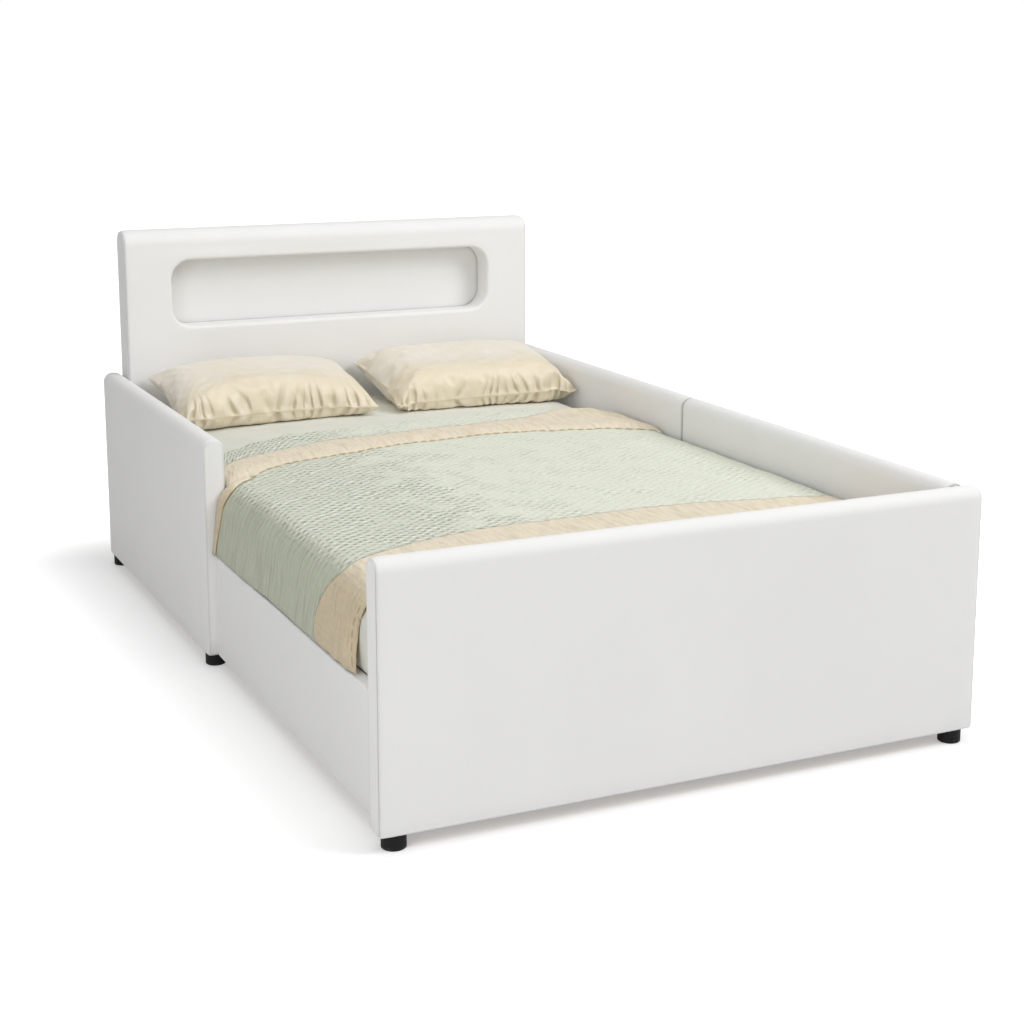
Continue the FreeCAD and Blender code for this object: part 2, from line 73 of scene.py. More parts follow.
class Socket:
    """One value in a shader: arithmetic on it adds Math nodes, so that formulas read as Python."""

    def __init__(self, owner: "NodeTree", plug: bpy.types.NodeSocket) -> None:
        """Wrap an output socket of a tree's node."""
        self.owner = owner
        self.plug = plug

    def math(self, operation: str, *others: "Term", first: Optional["Term"] = None) -> "Socket":
        """Result of a Math node on this value.

        Args:
            operation: the Math node's operation.
            others: the terms that follow this value.
            first: a term that comes before this value, for reflected operators.

        Returns:
            The node's value.
        """
        terms = ([] if first is None else [first]) + [self, *others]
        return self.owner.node("ShaderNodeMath", {"operation": operation}, dict(enumerate(terms)))

    def __add__(self, other: "Term") -> "Socket":
        """Sum."""
        return self.math("ADD", other)

    def __radd__(self, other: float) -> "Socket":
        """Sum with a number in front."""
        return self.math("ADD", first=other)

    def __sub__(self, other: "Term") -> "Socket":
        """Difference."""
        return self.math("SUBTRACT", other)

    def __rsub__(self, other: float) -> "Socket":
        """Difference from a number."""
        return self.math("SUBTRACT", first=other)

    def __mul__(self, other: "Term") -> "Socket":
        """Product."""
        return self.math("MULTIPLY", other)

    def __rmul__(self, other: float) -> "Socket":
        """Product with a number in front."""
        return self.math("MULTIPLY", first=other)

    def __truediv__(self, other: "Term") -> "Socket":
        """Quotient."""
        return self.math("DIVIDE", other)

    def __pow__(self, other: "Term") -> "Socket":
        """Power."""
        return self.math("POWER", other)

    def __abs__(self) -> "Socket":
        """Size without sign."""
        return self.math("ABSOLUTE")

    def floor(self) -> "Socket":
        """Whole number below."""
        return self.math("FLOOR")

    def wave(self, period: float) -> "Socket":
        """Sine of this length, from -1 to 1, that repeats after a period."""
        return (self * (2 * math.pi / period)).math("SINE")

    def smooth(self, low: float, high: float) -> "Socket":
        """Soft step from 0 at low to 1 at high."""
        limits = {"Value": self, "From Min": low, "From Max": high}
        return self.owner.node("ShaderNodeMapRange", {"interpolation_type": "SMOOTHSTEP"}, limits)


Term = Union[Socket, float]


class NodeTree:
    """A node tree in which one method adds every node."""

    def __init__(self, tree: bpy.types.NodeTree) -> None:
        """Take over a tree."""
        self.tree = tree

    def add(self, kind: str, settings: dict[str, Any], values: dict[Any, Any]) -> bpy.types.Node:
        """Add a node.

        Args:
            kind: the node's type.
            settings: properties that are set first.
            values: numbers, colours or sockets for its inputs, by name or index.

        Returns:
            The new node.
        """
        made = self.tree.nodes.new(kind)
        for key, value in settings.items():
            setattr(made, key, value)
        for key, value in values.items():
            self.feed(made.inputs[key], value)
        return made

    def node(self, kind: str, settings: dict[str, Any], values: dict[Any, Any], output: Any = 0) -> Socket:
        """Add a node and take one of its outputs, by name or index."""
        return Socket(self, self.add(kind, settings, values).outputs[output])

    def feed(self, plug: bpy.types.NodeSocket, value: Any) -> None:
        """Link a socket to an input, or set the input.

        Args:
            plug: the input.
            value: a socket, a number or a colour.
        """
        if isinstance(value, Socket):
            self.tree.links.new(value.plug, plug)
        elif isinstance(value, tuple) and plug.type == "RGBA":
            plug.default_value = (*value, 1.0)
        else:
            plug.default_value = value

    def seen(self) -> Socket:
        """Whether the camera, a reflection or a clear piece looks at the surface.

        Returns:
            1 or 0.
        """
        kinds = ("Is Camera Ray", "Is Glossy Ray", "Is Transmission Ray")
        camera, glossy, clear = (self.node("ShaderNodeLightPath", {}, {}, kind) for kind in kinds)
        return camera.math("MAXIMUM", glossy).math("MAXIMUM", clear)


class Shader(NodeTree):
    """A material's node tree, with the nodes that the finishes are written in."""

    def __init__(self, name: str) -> None:
        """Start a material with a principled surface and an output.

        Args:
            name: the material's name.
        """
        self.material = bpy.data.materials.new(name)
        self.material.use_nodes = True
        super().__init__(self.material.node_tree)
        self.tree.nodes.clear()
        self.surface = self.add("ShaderNodeBsdfPrincipled", {}, {})
        self.add("ShaderNodeOutputMaterial", {}, {"Surface": Socket(self, self.surface.outputs[0])})

    def point(self) -> Socket:
        """Place on the object, in metres."""
        return self.node("ShaderNodeTexCoord", {}, {}, "Object")

    def mark(self, name: str, output: str = "Fac") -> Socket:
        """A value that the mesh carries."""
        return self.node("ShaderNodeAttribute", {"attribute_name": name}, {}, output)

    def parts(self, vector: Socket) -> list[Socket]:
        """The three parts of a vector."""
        return [self.node("ShaderNodeSeparateXYZ", {}, {0: vector}, axis) for axis in range(3)]

    def stretched(self, vector: Socket, scale: Triple) -> Socket:
        """A vector scaled by its own number along each axis."""
        return self.node("ShaderNodeMapping", {}, {"Vector": vector, "Scale": scale})

    def noise(self, vector: Socket, scale: float, detail: float = 2.0, roughness: float = 0.5) -> Socket:
        """Cloudy noise from 0 to 1."""
        values = {"Vector": vector, "Scale": scale, "Detail": detail, "Roughness": roughness}
        return self.node("ShaderNodeTexNoise", {}, values)

    def cells(self, vector: Socket, scale: float) -> Socket:
        """Distance to the nearest of scattered points, small at each point."""
        return self.node("ShaderNodeTexVoronoi", {}, {"Vector": vector, "Scale": scale})

    def blend(self, share: Term, first: Any, second: Any) -> Socket:
        """Colour between two colours."""
        settings = {"data_type": "RGBA", "clamp_factor": True}
        return self.node("ShaderNodeMix", settings, {0: share, 6: first, 7: second}, 2)

    def dress(self, **values: Any) -> None:
        """Set the principled surface's sockets, named with underscores for spaces."""
        for key, value in values.items():
            self.feed(self.surface.inputs[key.replace("_", " ")], value)

    def relief(self, height: Socket, depth: float, strength: float = 1.0) -> Socket:
        """Bumped normal for a height from 0 to 1 that stands depth metres proud."""
        return self.node("ShaderNodeBump", {}, {"Strength": strength, "Distance": depth, "Height": height})


# Finishes


@dataclass(frozen=True)
class Finish:
    """A surface finish: a named material with a main colour.

    Noise scales and stretches count features a metre, depths and other lengths are metres, and tones are
    shares of the main colour.
    """

    name: str
    colour: Colour

    def paint(self, shader: Shader) -> None:
        """Build the finish's nodes."""
        raise NotImplementedError

    def toned(self, share: float) -> Colour:
        """The main colour, darkened to a share of itself."""
        return tuple(share * part for part in self.colour)

    @lru_cache(maxsize=None)
    def material(self) -> bpy.types.Material:
        """Make the finish's material on first use.

        Returns:
            The material.
        """
        shader = Shader(self.name)
        self.paint(shader)
        return shader.material


@dataclass(frozen=True)
class CoverCloth(Finish):
    """Smooth off-white cover: a fine grain, faint clouding and a shaded line along the sewn seams."""

    grain: float = 620.0
    fuzz: float = 1400.0
    cloud: float = 5.0
    wear: float = 42.0
    grain_depth: float = 0.00012
    cloud_tone: float = 0.985
    seam_tone: float = 0.45

    def paint(self, shader: Shader) -> None:
        """Fine cells make the grain, slow noise the clouding, and the seam mark the shaded line.

        Args:
            shader: the material's tree.
        """
        place = shader.point()
        cloud = shader.noise(place, self.cloud, 3.0)
        seam = shader.mark("seam")
        cloth = shader.blend(cloud.smooth(0.3, 0.7), self.colour, self.toned(self.cloud_tone))
        grain = shader.cells(place, self.grain) + 0.6 * shader.noise(place, self.fuzz)
        shader.dress(
            Base_Color=shader.blend(seam, cloth, self.toned(self.seam_tone)),
            Roughness=0.5 + 0.12 * shader.noise(place, self.wear, 3.0) + 0.1 * seam,
            Normal=shader.relief(grain, self.grain_depth, 0.5),
            Specular_IOR_Level=0.12,
        )


class Grain(Enum):
    """Direction that a piece of timber's grain runs in, with its stretch along each axis."""

    ACROSS = (2.2, 34.0, 34.0)
    LENGTHWISE = (34.0, 2.2, 34.0)
    UPRIGHT = (34.0, 34.0, 2.2)


@dataclass(frozen=True)
class Timber(Finish):
    """Planed softwood: streaks along the grain. Late wood keeps a share of each part of the colour."""

    grain: Grain = Grain.ACROSS
    rings: float = 7.0
    pore: float = 9.0
    depth: float = 0.0004
    late: Colour = (0.72, 0.62, 0.50)

    def paint(self, shader: Shader) -> None:
        """Noise drawn out along the grain, sharpened into growth rings, with fine pores on top.

        Args:
            shader: the material's tree.
        """
        drawn = shader.stretched(shader.point(), self.grain.value)
        rings = (shader.noise(drawn, 1.0, 4.0, 0.55) * self.rings).wave(1.0) * 0.5 + 0.5
        pores = shader.noise(drawn, self.pore, 2.0)
        late = tuple(part * share for part, share in zip(self.colour, self.late))
        wood = shader.blend(rings ** 2.2 * 0.7, self.colour, late)
        shader.dress(
            Base_Color=shader.blend(pores.smooth(0.45, 0.75) * 0.35, wood, late),
            Roughness=0.5 + 0.2 * pores,
            Normal=shader.relief(rings * 0.5 + pores, self.depth, 0.4),
        )


@dataclass(frozen=True)
class FibreBoard(Finish):
    """Thin pressed board: flecks of fibre on a brown ground."""

    fleck: float = 260.0
    cloud: float = 3.0
    depth: float = 0.0003
    fleck_tone: float = 0.66

    def paint(self, shader: Shader) -> None:
        """Two scales of noise mix fibre and ground; the finer one also roughens the face.

        Args:
            shader: the material's tree.
        """
        place = shader.point()
        flecks = shader.noise(place, self.fleck, 4.0, 0.65)
        cloud = shader.noise(place, self.cloud, 2.0)
        share = flecks.smooth(0.35, 0.7) * 0.8 + cloud * 0.2
        shader.dress(
            Base_Color=shader.blend(share, self.colour, self.toned(self.fleck_tone)),
            Roughness=0.55 + 0.25 * flecks,
            Normal=shader.relief(flecks, self.depth, 0.5),
        )


@dataclass(frozen=True)
class MouldedPlastic(Finish):
    """Black moulded plastic with a fine spark-eroded texture, scuffed paler near the floor."""

    texture: float = 900.0
    texture_depth: float = 0.0002
    wear: float = 60.0
    scuff: float = 160.0
    scuff_height: float = 0.012
    scuff_pale: float = 0.06

    def paint(self, shader: Shader) -> None:
        """Fine noise is the texture; scuffs grow towards the floor.

        Args:
            shader: the material's tree.
        """
        place = shader.point()
        height = shader.parts(place)[2]
        low = 1 - height.smooth(0.0, self.scuff_height)
        scuff = low * shader.noise(place, self.scuff, 4.0).smooth(0.5, 0.7)
        wear_and_highlight = tuple(part + self.scuff_pale for part in self.colour)
        shader.dress(
            Base_Color=shader.blend(scuff, self.colour, wear_and_highlight),
            Roughness=0.52 + 0.25 * scuff + 0.08 * shader.noise(place, self.wear),
            Normal=shader.relief(shader.noise(place, self.texture), self.texture_depth, 0.5),
            Specular_IOR_Level=0.12,
        )


@dataclass(frozen=True)
class PlatedSteel(Finish):
    """Zinc plated steel: a soft spangle and faint rolling lines."""

    spangle: float = 120.0
    rolling: Triple = (30.0, 30.0, 900.0)
    rolling_depth: float = 0.0001
    dull_tone: float = 0.72

    def paint(self, shader: Shader) -> None:
        """Cells make the spangle, drawn-out noise the rolling lines.

        Args:
            shader: the material's tree.
        """
        place = shader.point()
        flake = shader.cells(place, self.spangle)
        lines = shader.noise(shader.stretched(place, self.rolling), 1.0, 3.0)
        shader.dress(
            Base_Color=shader.blend(flake * 0.8, self.colour, self.toned(self.dull_tone)),
            Roughness=0.28 + 0.18 * flake + 0.1 * lines,
            Normal=shader.relief(lines, self.rolling_depth, 0.4),
            Metallic=0.95,
        )


@dataclass(frozen=True)
class Weave(Finish):
    """Plain woven cloth: crossing threads, thick and thin places, and a soft nap."""

    thread: float = 0.0009
    depth: float = 0.00025
    sheen: float = 0.15
    roughness: float = 0.78
    slub: float = 9.0
    slub_tone: float = 0.94
    thread_tone: float = 0.9

    def paint(self, shader: Shader) -> None:
        """Two crossed sets of sine ridges, over by under, with slow noise for uneven yarn.

        The threads follow the flat mark, the cloth's own coordinates in metres.

        Args:
            shader: the material's tree.
        """
        place = shader.point()
        along, across, _ = shader.parts(shader.mark("flat", "Vector"))
        weft = along.wave(2 * self.thread)
        warp = across.wave(2 * self.thread)
        threads = (weft * warp) * 0.5 + 0.5
        slub = shader.noise(place, self.slub, 4.0, 0.6)
        cloth = shader.blend(slub.smooth(0.3, 0.7), self.colour, self.toned(self.slub_tone))
        shader.dress(
            Base_Color=shader.blend(threads * 0.25, cloth, self.toned(self.thread_tone)),
            Roughness=self.roughness + 0.1 * (1 - threads),
            Normal=shader.relief(threads + slub, self.depth, 0.6),
            Sheen_Weight=self.sheen,
            Sheen_Roughness=0.5,
            Specular_IOR_Level=0.25,
        )


@dataclass(frozen=True)
class Satin(Finish):
    """Cream satin cotton: fine floats with a soft gloss, a thin sewn seam, and pleats along the front.

    The front colour is the cream in painted shade on the front face, darker and warmer. The painted shade
    in creases and at the seam is the front's colour keeping a share of each of its parts.
    """

    # darker, warmer cream painted as shade on the pillow's front face
    front: Colour = (0.765, 0.68, 0.51)
    # share of the front colour kept in the painted shade of creases and the seam
    crease: Colour = (0.78, 0.71, 0.60)
    floats: Triple = (2600.0, 160.0, 160.0)
    cloud: float = 7.0
    shaded_front_reach: Span = (-0.17, 0.0)
    pucker: Triple = (40.0, 8.0, 1.0)
    depth: float = 0.0055

    def paint(self, shader: Shader) -> None:
        """Drawn-out noise gives the floats, and slow noise an uneven sheen and patches of the front's
        colour;
        the front is painted shade, a darker and warmer cream.

        The pleat mark counts the pleats along their row, so its fraction is the place across one pleat:
        painted shade in the crease and a painted highlight on the crest beside it, as strong as the crease
        mark. Noise drawn out away from the front seam gives fine puckers, bumped and with a little painted
        shade, as strong as the gather mark.

        Args:
            shader: the material's tree.
        """
        place = shader.point()
        floats = shader.noise(shader.stretched(place, self.floats), 1.0, 2.0)
        cloud = shader.noise(place, self.cloud, 3.0)
        seam = shader.mark("seam").smooth(0.55, 1.0)
        shade_tint = tuple(part * share for part, share in zip(self.front, self.crease))
        flat = shader.mark("flat", "Vector")
        inset = shader.parts(flat)[1]
        # the front turns to its painted-shade cream, and so do patches of the slow noise
        tone = inset.smooth(*self.shaded_front_reach) - 0.35 * cloud.smooth(0.35, 0.7) - 0.1 * floats
        cloth = shader.blend(tone, self.front, self.colour)
        pleat, crease = shader.mark("pleat"), shader.mark("crease")
        phase = pleat - pleat.floor()
        # painted shade just past each pleat's fold, and a painted highlight on its crest
        dent = crease * (1 - phase.smooth(0.04, 0.3))
        crest = crease * phase.smooth(0.18, 0.36) * (1 - phase.smooth(0.36, 0.75))
        cloth = shader.blend(0.7 * crest, cloth, self.colour)
        pucker = shader.noise(shader.stretched(flat, self.pucker), 1.0, 2.0)
        fold = pucker.smooth(0.35, 0.68) * shader.mark("gather")
        # painted shade at the seam, in the pleats' creases and in the puckers
        shade = (seam * 0.5).math("MAXIMUM", 0.7 * dent + 0.1 * fold)
        shader.dress(
            Base_Color=shader.blend(shade, cloth, shade_tint),
            Roughness=0.40 + 0.12 * floats + 0.08 * cloud,
            Normal=shader.relief(0.012 * floats - 0.5 * fold - 0.8 * dent, self.depth, 1.0),
            Sheen_Weight=0.4,
            Sheen_Roughness=0.4,
            Specular_IOR_Level=0.65,
        )


@dataclass(frozen=True)
class StitchedCotton(Finish):
    """Quilted cotton: sage green with beige borders, puckered between close rows of running stitch."""

    # the green in painted shade, for the cloth that hangs down the side
    hanging: Colour = (0.535, 0.562, 0.435)
    # painted shade of the green: stitch pits, streaks, the full band, tacks and the seam
    shade_tint: Colour = (0.38, 0.40, 0.31)
    border: Colour = (0.81, 0.725, 0.57)
    # the beige in painted shade, for the border that hangs down the side
    border_hanging: Colour = (0.665, 0.555, 0.385)
    # painted shade of the beige: gathers, channels and the seam
    border_shade_tint: Colour = (0.55, 0.465, 0.33)
    # painted highlight on the pads between stitches
    pale: Colour = (0.88, 0.895, 0.82)
    # brown of the painted shadow line along the hems
    thread: Colour = (0.34, 0.27, 0.17)
    row: float = 0.0160
    row_drift: float = 0.018
    drift: float = 26.0
    stitch: float = 0.0230
    stitch_sway: float = 0.036
    sway: float = 17.0
    tack: float = 0.040
    tack_place: float = 0.0055
    tack_width: float = 0.005
    # dash length of the painted shadow line along the hems
    hem_shadow_dash: float = 0.026
    seam_edge: float = 0.0012
    seam_width: float = 0.003
    patch: float = 11.0
    crease: float = 4.5
    puff: Triple = (74.0, 48.0, 1.0)
    fall: Triple = (9.0, 92.0, 1.0)
    gather: Triple = (75.0, 16.0, 1.0)
    depth: float = 0.0042

    def paint(self, shader: Shader) -> None:
        """Channels run lengthwise along the rows of stitches, and the cloth puffs up between the stitches.

        Each stitch is a short pit in its channel, half a step on from those of the next row, bumped and
        painted with shade, and the cloth between two stitches is a pad with a painted highlight. Noise
        drifts the rows as washing does and gathers the puckers into patches and along creases. The lofty
        mark says how full the cloth
        is: where it is high, the pits and pads are bumped more, get more painted shade and highlight, and
        the cloth is darkened by painted shade. The hang mark turns the spread cloth into its copy in painted
        shade, streaked with painted shade, that hangs at the side. Gathers on the beige and the seam between
        the cloths get painted shade, and the rim mark a dashed painted shadow line along the hems. The green
        mark is the distance into the green, so that the change of cloth is a clean seam.

        Args:
            shader: the material's tree.
        """
        place = shader.mark("flat", "Vector")
        along, across, _ = shader.parts(place)
        green, lofty, hang = shader.mark("green"), shader.mark("lofty"), shader.mark("hang")
        drift = shader.noise(place, self.drift, 3.0, 0.6) - 0.5
        course = (along + self.row_drift * drift) / self.row
        row = course.floor()
        stray = shader.node("ShaderNodeTexWhiteNoise", {"noise_dimensions": "1D"}, {"W": row})
        shift = row * 0.5 - (row * 0.5).floor() + 0.22 * stray
        sway = shader.noise(place, self.sway, 3.0, 0.6) - 0.5
        beat = (across + self.stitch * shift + self.stitch_sway * sway).wave(self.stitch) * 0.5 + 0.5
        puff = shader.noise(shader.stretched(place, self.puff), 1.0, 3.0, 0.55)
        fall = shader.noise(shader.stretched(place, self.fall), 1.0, 2.0, 0.6)
        gather = shader.noise(shader.stretched(place, self.gather), 1.0, 3.0)
        patch = shader.noise(place, self.patch, 3.0, 0.6).smooth(0.36, 0.62)
        line = 1 - abs(shader.noise(place, self.crease, 2.0) - 0.5).smooth(0.0, 0.05)
        worked = (0.2 + 0.5 * patch + 0.35 * line) * (0.35 + 1.3 * puff.smooth(0.3, 0.7))
        spread = 1 - hang.smooth(0.1, 0.9)
        full = (lofty + 0.25 * (patch - 0.5)).smooth(0.5, 0.95) * (1 - hang.smooth(0.45, 1.0))
        channel = 1 - abs((course - row) * 2 - 1).smooth(0.15, 1.0)
        pit = channel * beat.smooth(0.5, 0.92)
        pad = channel * (1 - beat).smooth(0.45, 0.95)
        tuft = (pad + 2.2 * (puff - 0.5)).smooth(0.1, 1.0)
        # painted highlight on the pads, strongest in patches and where the cloth is full
        fleck = 1.2 * tuft * worked * spread * (0.35 + 0.65 * full)
        inside = green.smooth(-self.seam_edge, self.seam_edge)
        seam = 1 - abs(green).smooth(0.0, self.seam_width)
        tacked = 1 - abs(green - self.tack_place).smooth(0.0, self.tack_width)
        tack = tacked * along.wave(self.tack).smooth(0.3, 0.8)
        # the top colours turn to their painted-shade copies down the hanging side
        sage = shader.blend(spread, self.hanging, self.colour)
        sand = shader.blend(spread, self.border_hanging, self.border)
        # cloth colour, with the painted highlight on the green pads
        wear_and_highlight = shader.blend(inside, sand, shader.blend(fleck, sage, self.pale))
        shade_tint = shader.blend(inside, self.border_shade_tint, self.shade_tint)
        # painted shadow line along the hems, dashed, where the rim mark is high
        hem = shader.mark("rim").smooth(0.74, 1.0) * along.wave(self.hem_shadow_dash).smooth(-1.2, 0.4)
        # painted shade in streaks down the hanging side
        streak = (1 - spread) * fall.smooth(0.42, 0.72)
        # painted shade in the stitch pits
        dark = pit * worked * (0.6 + 0.4 * spread) * (0.2 + 0.95 * full)
        # painted shade of the green, including a darkening of the full band
        green_shade = dark + 0.26 * full * (1 - fleck) + 0.5 * tack + 0.6 * streak
        sand_shade = gather.smooth(0.4, 0.75) * 0.42 + channel * 0.06
        shade = inside * green_shade + (1 - inside) * sand_shade + 0.35 * seam
        creases = (0.2 + 0.35 * spread + 0.35 * full) * puff - 1.6 * (1 - spread) * fall
        stitched = inside * (0.35 * spread + 0.65 * full) * (0.3 * pad - 0.5 * pit)
        relief = creases - 0.08 * channel + stitched
        shader.dress(
            Base_Color=shader.blend(hem * 0.7, shader.blend(shade, wear_and_highlight, shade_tint), self.thread),
            Roughness=0.82 + 0.1 * channel,
            Normal=shader.relief(relief + (1 - inside) * gather - 0.4 * seam, self.depth, 1.0),
            Sheen_Weight=0.12,
            Sheen_Roughness=0.45,
            Specular_IOR_Level=0.2,
        )


@dataclass(frozen=True)
class Palette:
    """The finishes of the bed."""

    cover: Finish = CoverCloth("upholstery_cloth", (0.86, 0.856, 0.846))
    slat: Finish = Timber("slat_timber", (0.74, 0.58, 0.39), Grain.ACROSS)
    rail: Finish = Timber("rail_timber", (0.72, 0.56, 0.37), Grain.LENGTHWISE)
    post: Finish = Timber("post_timber", (0.70, 0.54, 0.36), Grain.UPRIGHT)
    board: Finish = FibreBoard("pressed_board", (0.60, 0.50, 0.40))
    plastic: Finish = MouldedPlastic("black_plastic", (0.013, 0.013, 0.0135))
    steel: Finish = PlatedSteel("plated_steel", (0.62, 0.63, 0.64))
    bolt: Finish = PlatedSteel("bolt_steel", (0.56, 0.56, 0.57), 320.0)
    webbing: Finish = Weave("strap_webbing", (0.50, 0.49, 0.45), 0.0016, 0.0005)
    ticking: Finish = Weave("mattress_ticking", (0.84, 0.83, 0.80), 0.0012, 0.0004)
    sheet: Finish = Weave("sheet_cotton", (0.76, 0.765, 0.685), 0.0007, 0.0001)
    quilt: Finish = StitchedCotton("quilt_cotton", (0.755, 0.78, 0.66))
    pillow: Finish = Satin("pillow_satin", (0.835, 0.782, 0.68))


PALETTE = Palette()


# Surfaces


class Shell:
    """Grids of points that are welded into one surface, with values carried along as marks."""

    def __init__(self, name: str) -> None:
        """Start an empty surface.

        Args:
            name: the name of the object that it becomes.
        """
        self.name = name
        self.points: list[Array] = []
        self.quads: list[Array] = []
        self.marks: dict[str, list[Array]] = {}
        self.count = 0

    def add(self, points: Array, closed: bool = False, keep: Optional[Array] = None, **marks: Array) -> None:
        """Add a grid.

        Args:
            points: rows by columns by 3.
            closed: whether the last column joins the first.
            keep: which of its quads are kept, rows by columns.
            marks: values for each point, rows by columns or rows by columns by 3.
        """
        rows, columns = points.shape[:2]
        index = np.arange(rows * columns).reshape(rows, columns) + self.count
        if closed:
            index = np.concatenate([index, index[:, :1]], axis=1)
        quads = np.stack([index[:-1, :-1], index[:-1, 1:], index[1:, 1:], index[1:, :-1]], axis=-1)
        self.quads.append(quads[keep] if keep is not None else quads.reshape(-1, 4))
        self.points.append(points.reshape(-1, 3))
        for key, values in marks.items():
            self.marks.setdefault(key, []).append(values.reshape(rows * columns, -1))
        self.count += rows * columns

    def piece(self, finish: Finish, sharp: float = 180.0, outward: bool = True, weld: float = 1e-5) -> Piece:
        """Weld the grids into an object.

        Args:
            finish: the finish that it wears.
            sharp: the angle between faces, in degrees, past which an edge stays sharp.
            outward: whether the faces are turned to point out of a closed form.
            weld: how near points are merged.

        Returns:
            The new object, at the origin.
        """
        used, corners = np.unique(np.concatenate(self.quads), return_inverse=True)
        mesh = bpy.data.meshes.new(self.name)
        mesh.from_pydata(np.concatenate(self.points)[used].tolist(), [], corners.reshape(-1, 4).tolist())
        for key, parts in self.marks.items():
            values = np.concatenate(parts)[used].astype(np.float32)
            flat = values.shape[1] == 1
            mark = mesh.attributes.new(key, "FLOAT" if flat else "FLOAT_VECTOR", "POINT")
            mark.data.foreach_set("value" if flat else "vector", values.ravel())
        work = bmesh.new()
        work.from_mesh(mesh)
        bmesh.ops.remove_doubles(work, verts=work.verts, dist=weld)
        if outward:
            bmesh.ops.recalc_face_normals(work, faces=work.faces)
        work.to_mesh(mesh)
        work.free()
        mesh.shade_smooth()
        if sharp < 180.0:
            mesh.set_sharp_from_angle(angle=math.radians(sharp))
        mesh.materials.append(finish.material())
        made = bpy.data.objects.new(self.name, mesh)
        bpy.context.scene.collection.objects.link(made)
        return made


def ripple(first: Array, second: Array, length: float, seed: int, count: int = 9) -> Array:
    """Smooth uneven waves from -1 to 1 or so: the mean of sines in seeded directions and phases.

    Args:
        first: one coordinate of each point.
        second: the other coordinate.
        length: the middle wavelength.
        seed: which set of waves.
        count: how many waves are added.

    Returns:
        The wave's height at each point.
    """
    draw = np.random.default_rng(seed)
    turn = draw.uniform(0, 2 * math.pi, count)
    rate = 2 * math.pi / (length * draw.uniform(0.6, 1.7, count))
    phase = draw.uniform(0, 2 * math.pi, count)
    flow = first[..., None] * np.cos(turn) + second[..., None] * np.sin(turn)
    return np.sin(flow * rate + phase).sum(axis=-1) / math.sqrt(count)


def eased(value: Array, low: float, high: float) -> Array:
    """Soft step of each value from 0 at low to 1 at high."""
    share = np.clip((value - low) / (high - low), 0.0, 1.0)
    return share * share * (3 - 2 * share)


def curve_through(place: Array, stops: Stops) -> Array:
    """Smooth curve through stops, read at each place: a cubic with slopes taken from its neighbours.

    Args:
        place: where the curve is read.
        stops: pairs of place and value, in rising order of place.

    Returns:
        The curve's value at each place.
    """
    at = np.array([stop[0] for stop in stops])
    value = np.array([stop[1] for stop in stops])
    slope = np.gradient(value, at)
    spot = np.clip(place, at[0], at[-1])
    left = np.clip(np.searchsorted(at, spot, side="right") - 1, 0, len(at) - 2)
    span = at[left + 1] - at[left]
    share = (spot - at[left]) / span
    rest = 1 - share
    near = (1 + 2 * share) * rest ** 2 * value[left] + share * rest ** 2 * span * slope[left]
    far = share ** 2 * (3 - 2 * share) * value[left + 1] - share ** 2 * rest * span * slope[left + 1]
    return near + far


def vectors(items: Any, name: str) -> Array:
    """A vector of each item of a mesh.

    Args:
        items: the mesh's points, or another list of it.
        name: the property that holds the vector.

    Returns:
        Rows of three.
    """
    values = np.empty(3 * len(items), dtype=np.float32)
    items.foreach_get(name, values)
    return values.reshape(-1, 3).astype(float)


def mirrored(places: Array, length: float) -> Array:
    """Places from one end, repeated from the other end of a length."""
    return np.unique(np.round(np.concatenate([places, length - places]), 7))


def rounded_loop(core: Array, turns: int, runs: tuple[int, int]) -> tuple[Array, Array]:
    """Once round a rectangle with round corners: quarter turns about its core's corners, and straight runs.

    Args:
        core: half the width and half the height of the rectangle through the corners' centres.
        turns: how many directions each corner has.
        runs: points along a side that runs across and along one that runs up, with both ends.

    Returns:
        Core points, and unit directions away from them.
    """
    turn = np.linspace(0, math.pi / 2, turns)
    base, aim = [], []
    for number, corner in enumerate([(1, 1), (-1, 1), (-1, -1), (1, -1)]):
        angle = turn + number * math.pi / 2
        base.append(np.broadcast_to(core * corner, (turns, 2)))
        aim.append(np.stack([np.cos(angle), np.sin(angle)], axis=-1))
        axis = number % 2
        slide = np.linspace(1, -1, runs[axis])[1:-1]
        side = np.ones((len(slide), 2))
        side[:, axis] = slide
        base.append(side * core * corner)
        aim.append(np.broadcast_to(np.array(corner) * (axis, 1.0 - axis), side.shape))
    return np.concatenate(base), np.concatenate(aim)


def declared(made: Piece, body: str, node: str) -> Piece:
    """Tie a piece to its body, hide the solid that it replaces, and note its name and points.

    Args:
        made: the new object.
        body: the body that it rides on.
        node: the solid that it replaces.

    Returns:
        The same object.
    """
    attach(made, body)
    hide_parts(node)
    log.info("%s: %d points", made.name, len(made.data.vertices))
    return made


# Padded panels


class Along(Enum):
    """Direction that a panel runs in, as the index of its long axis and of its thin axis."""

    X = (0, 1)
    Y = (1, 0)


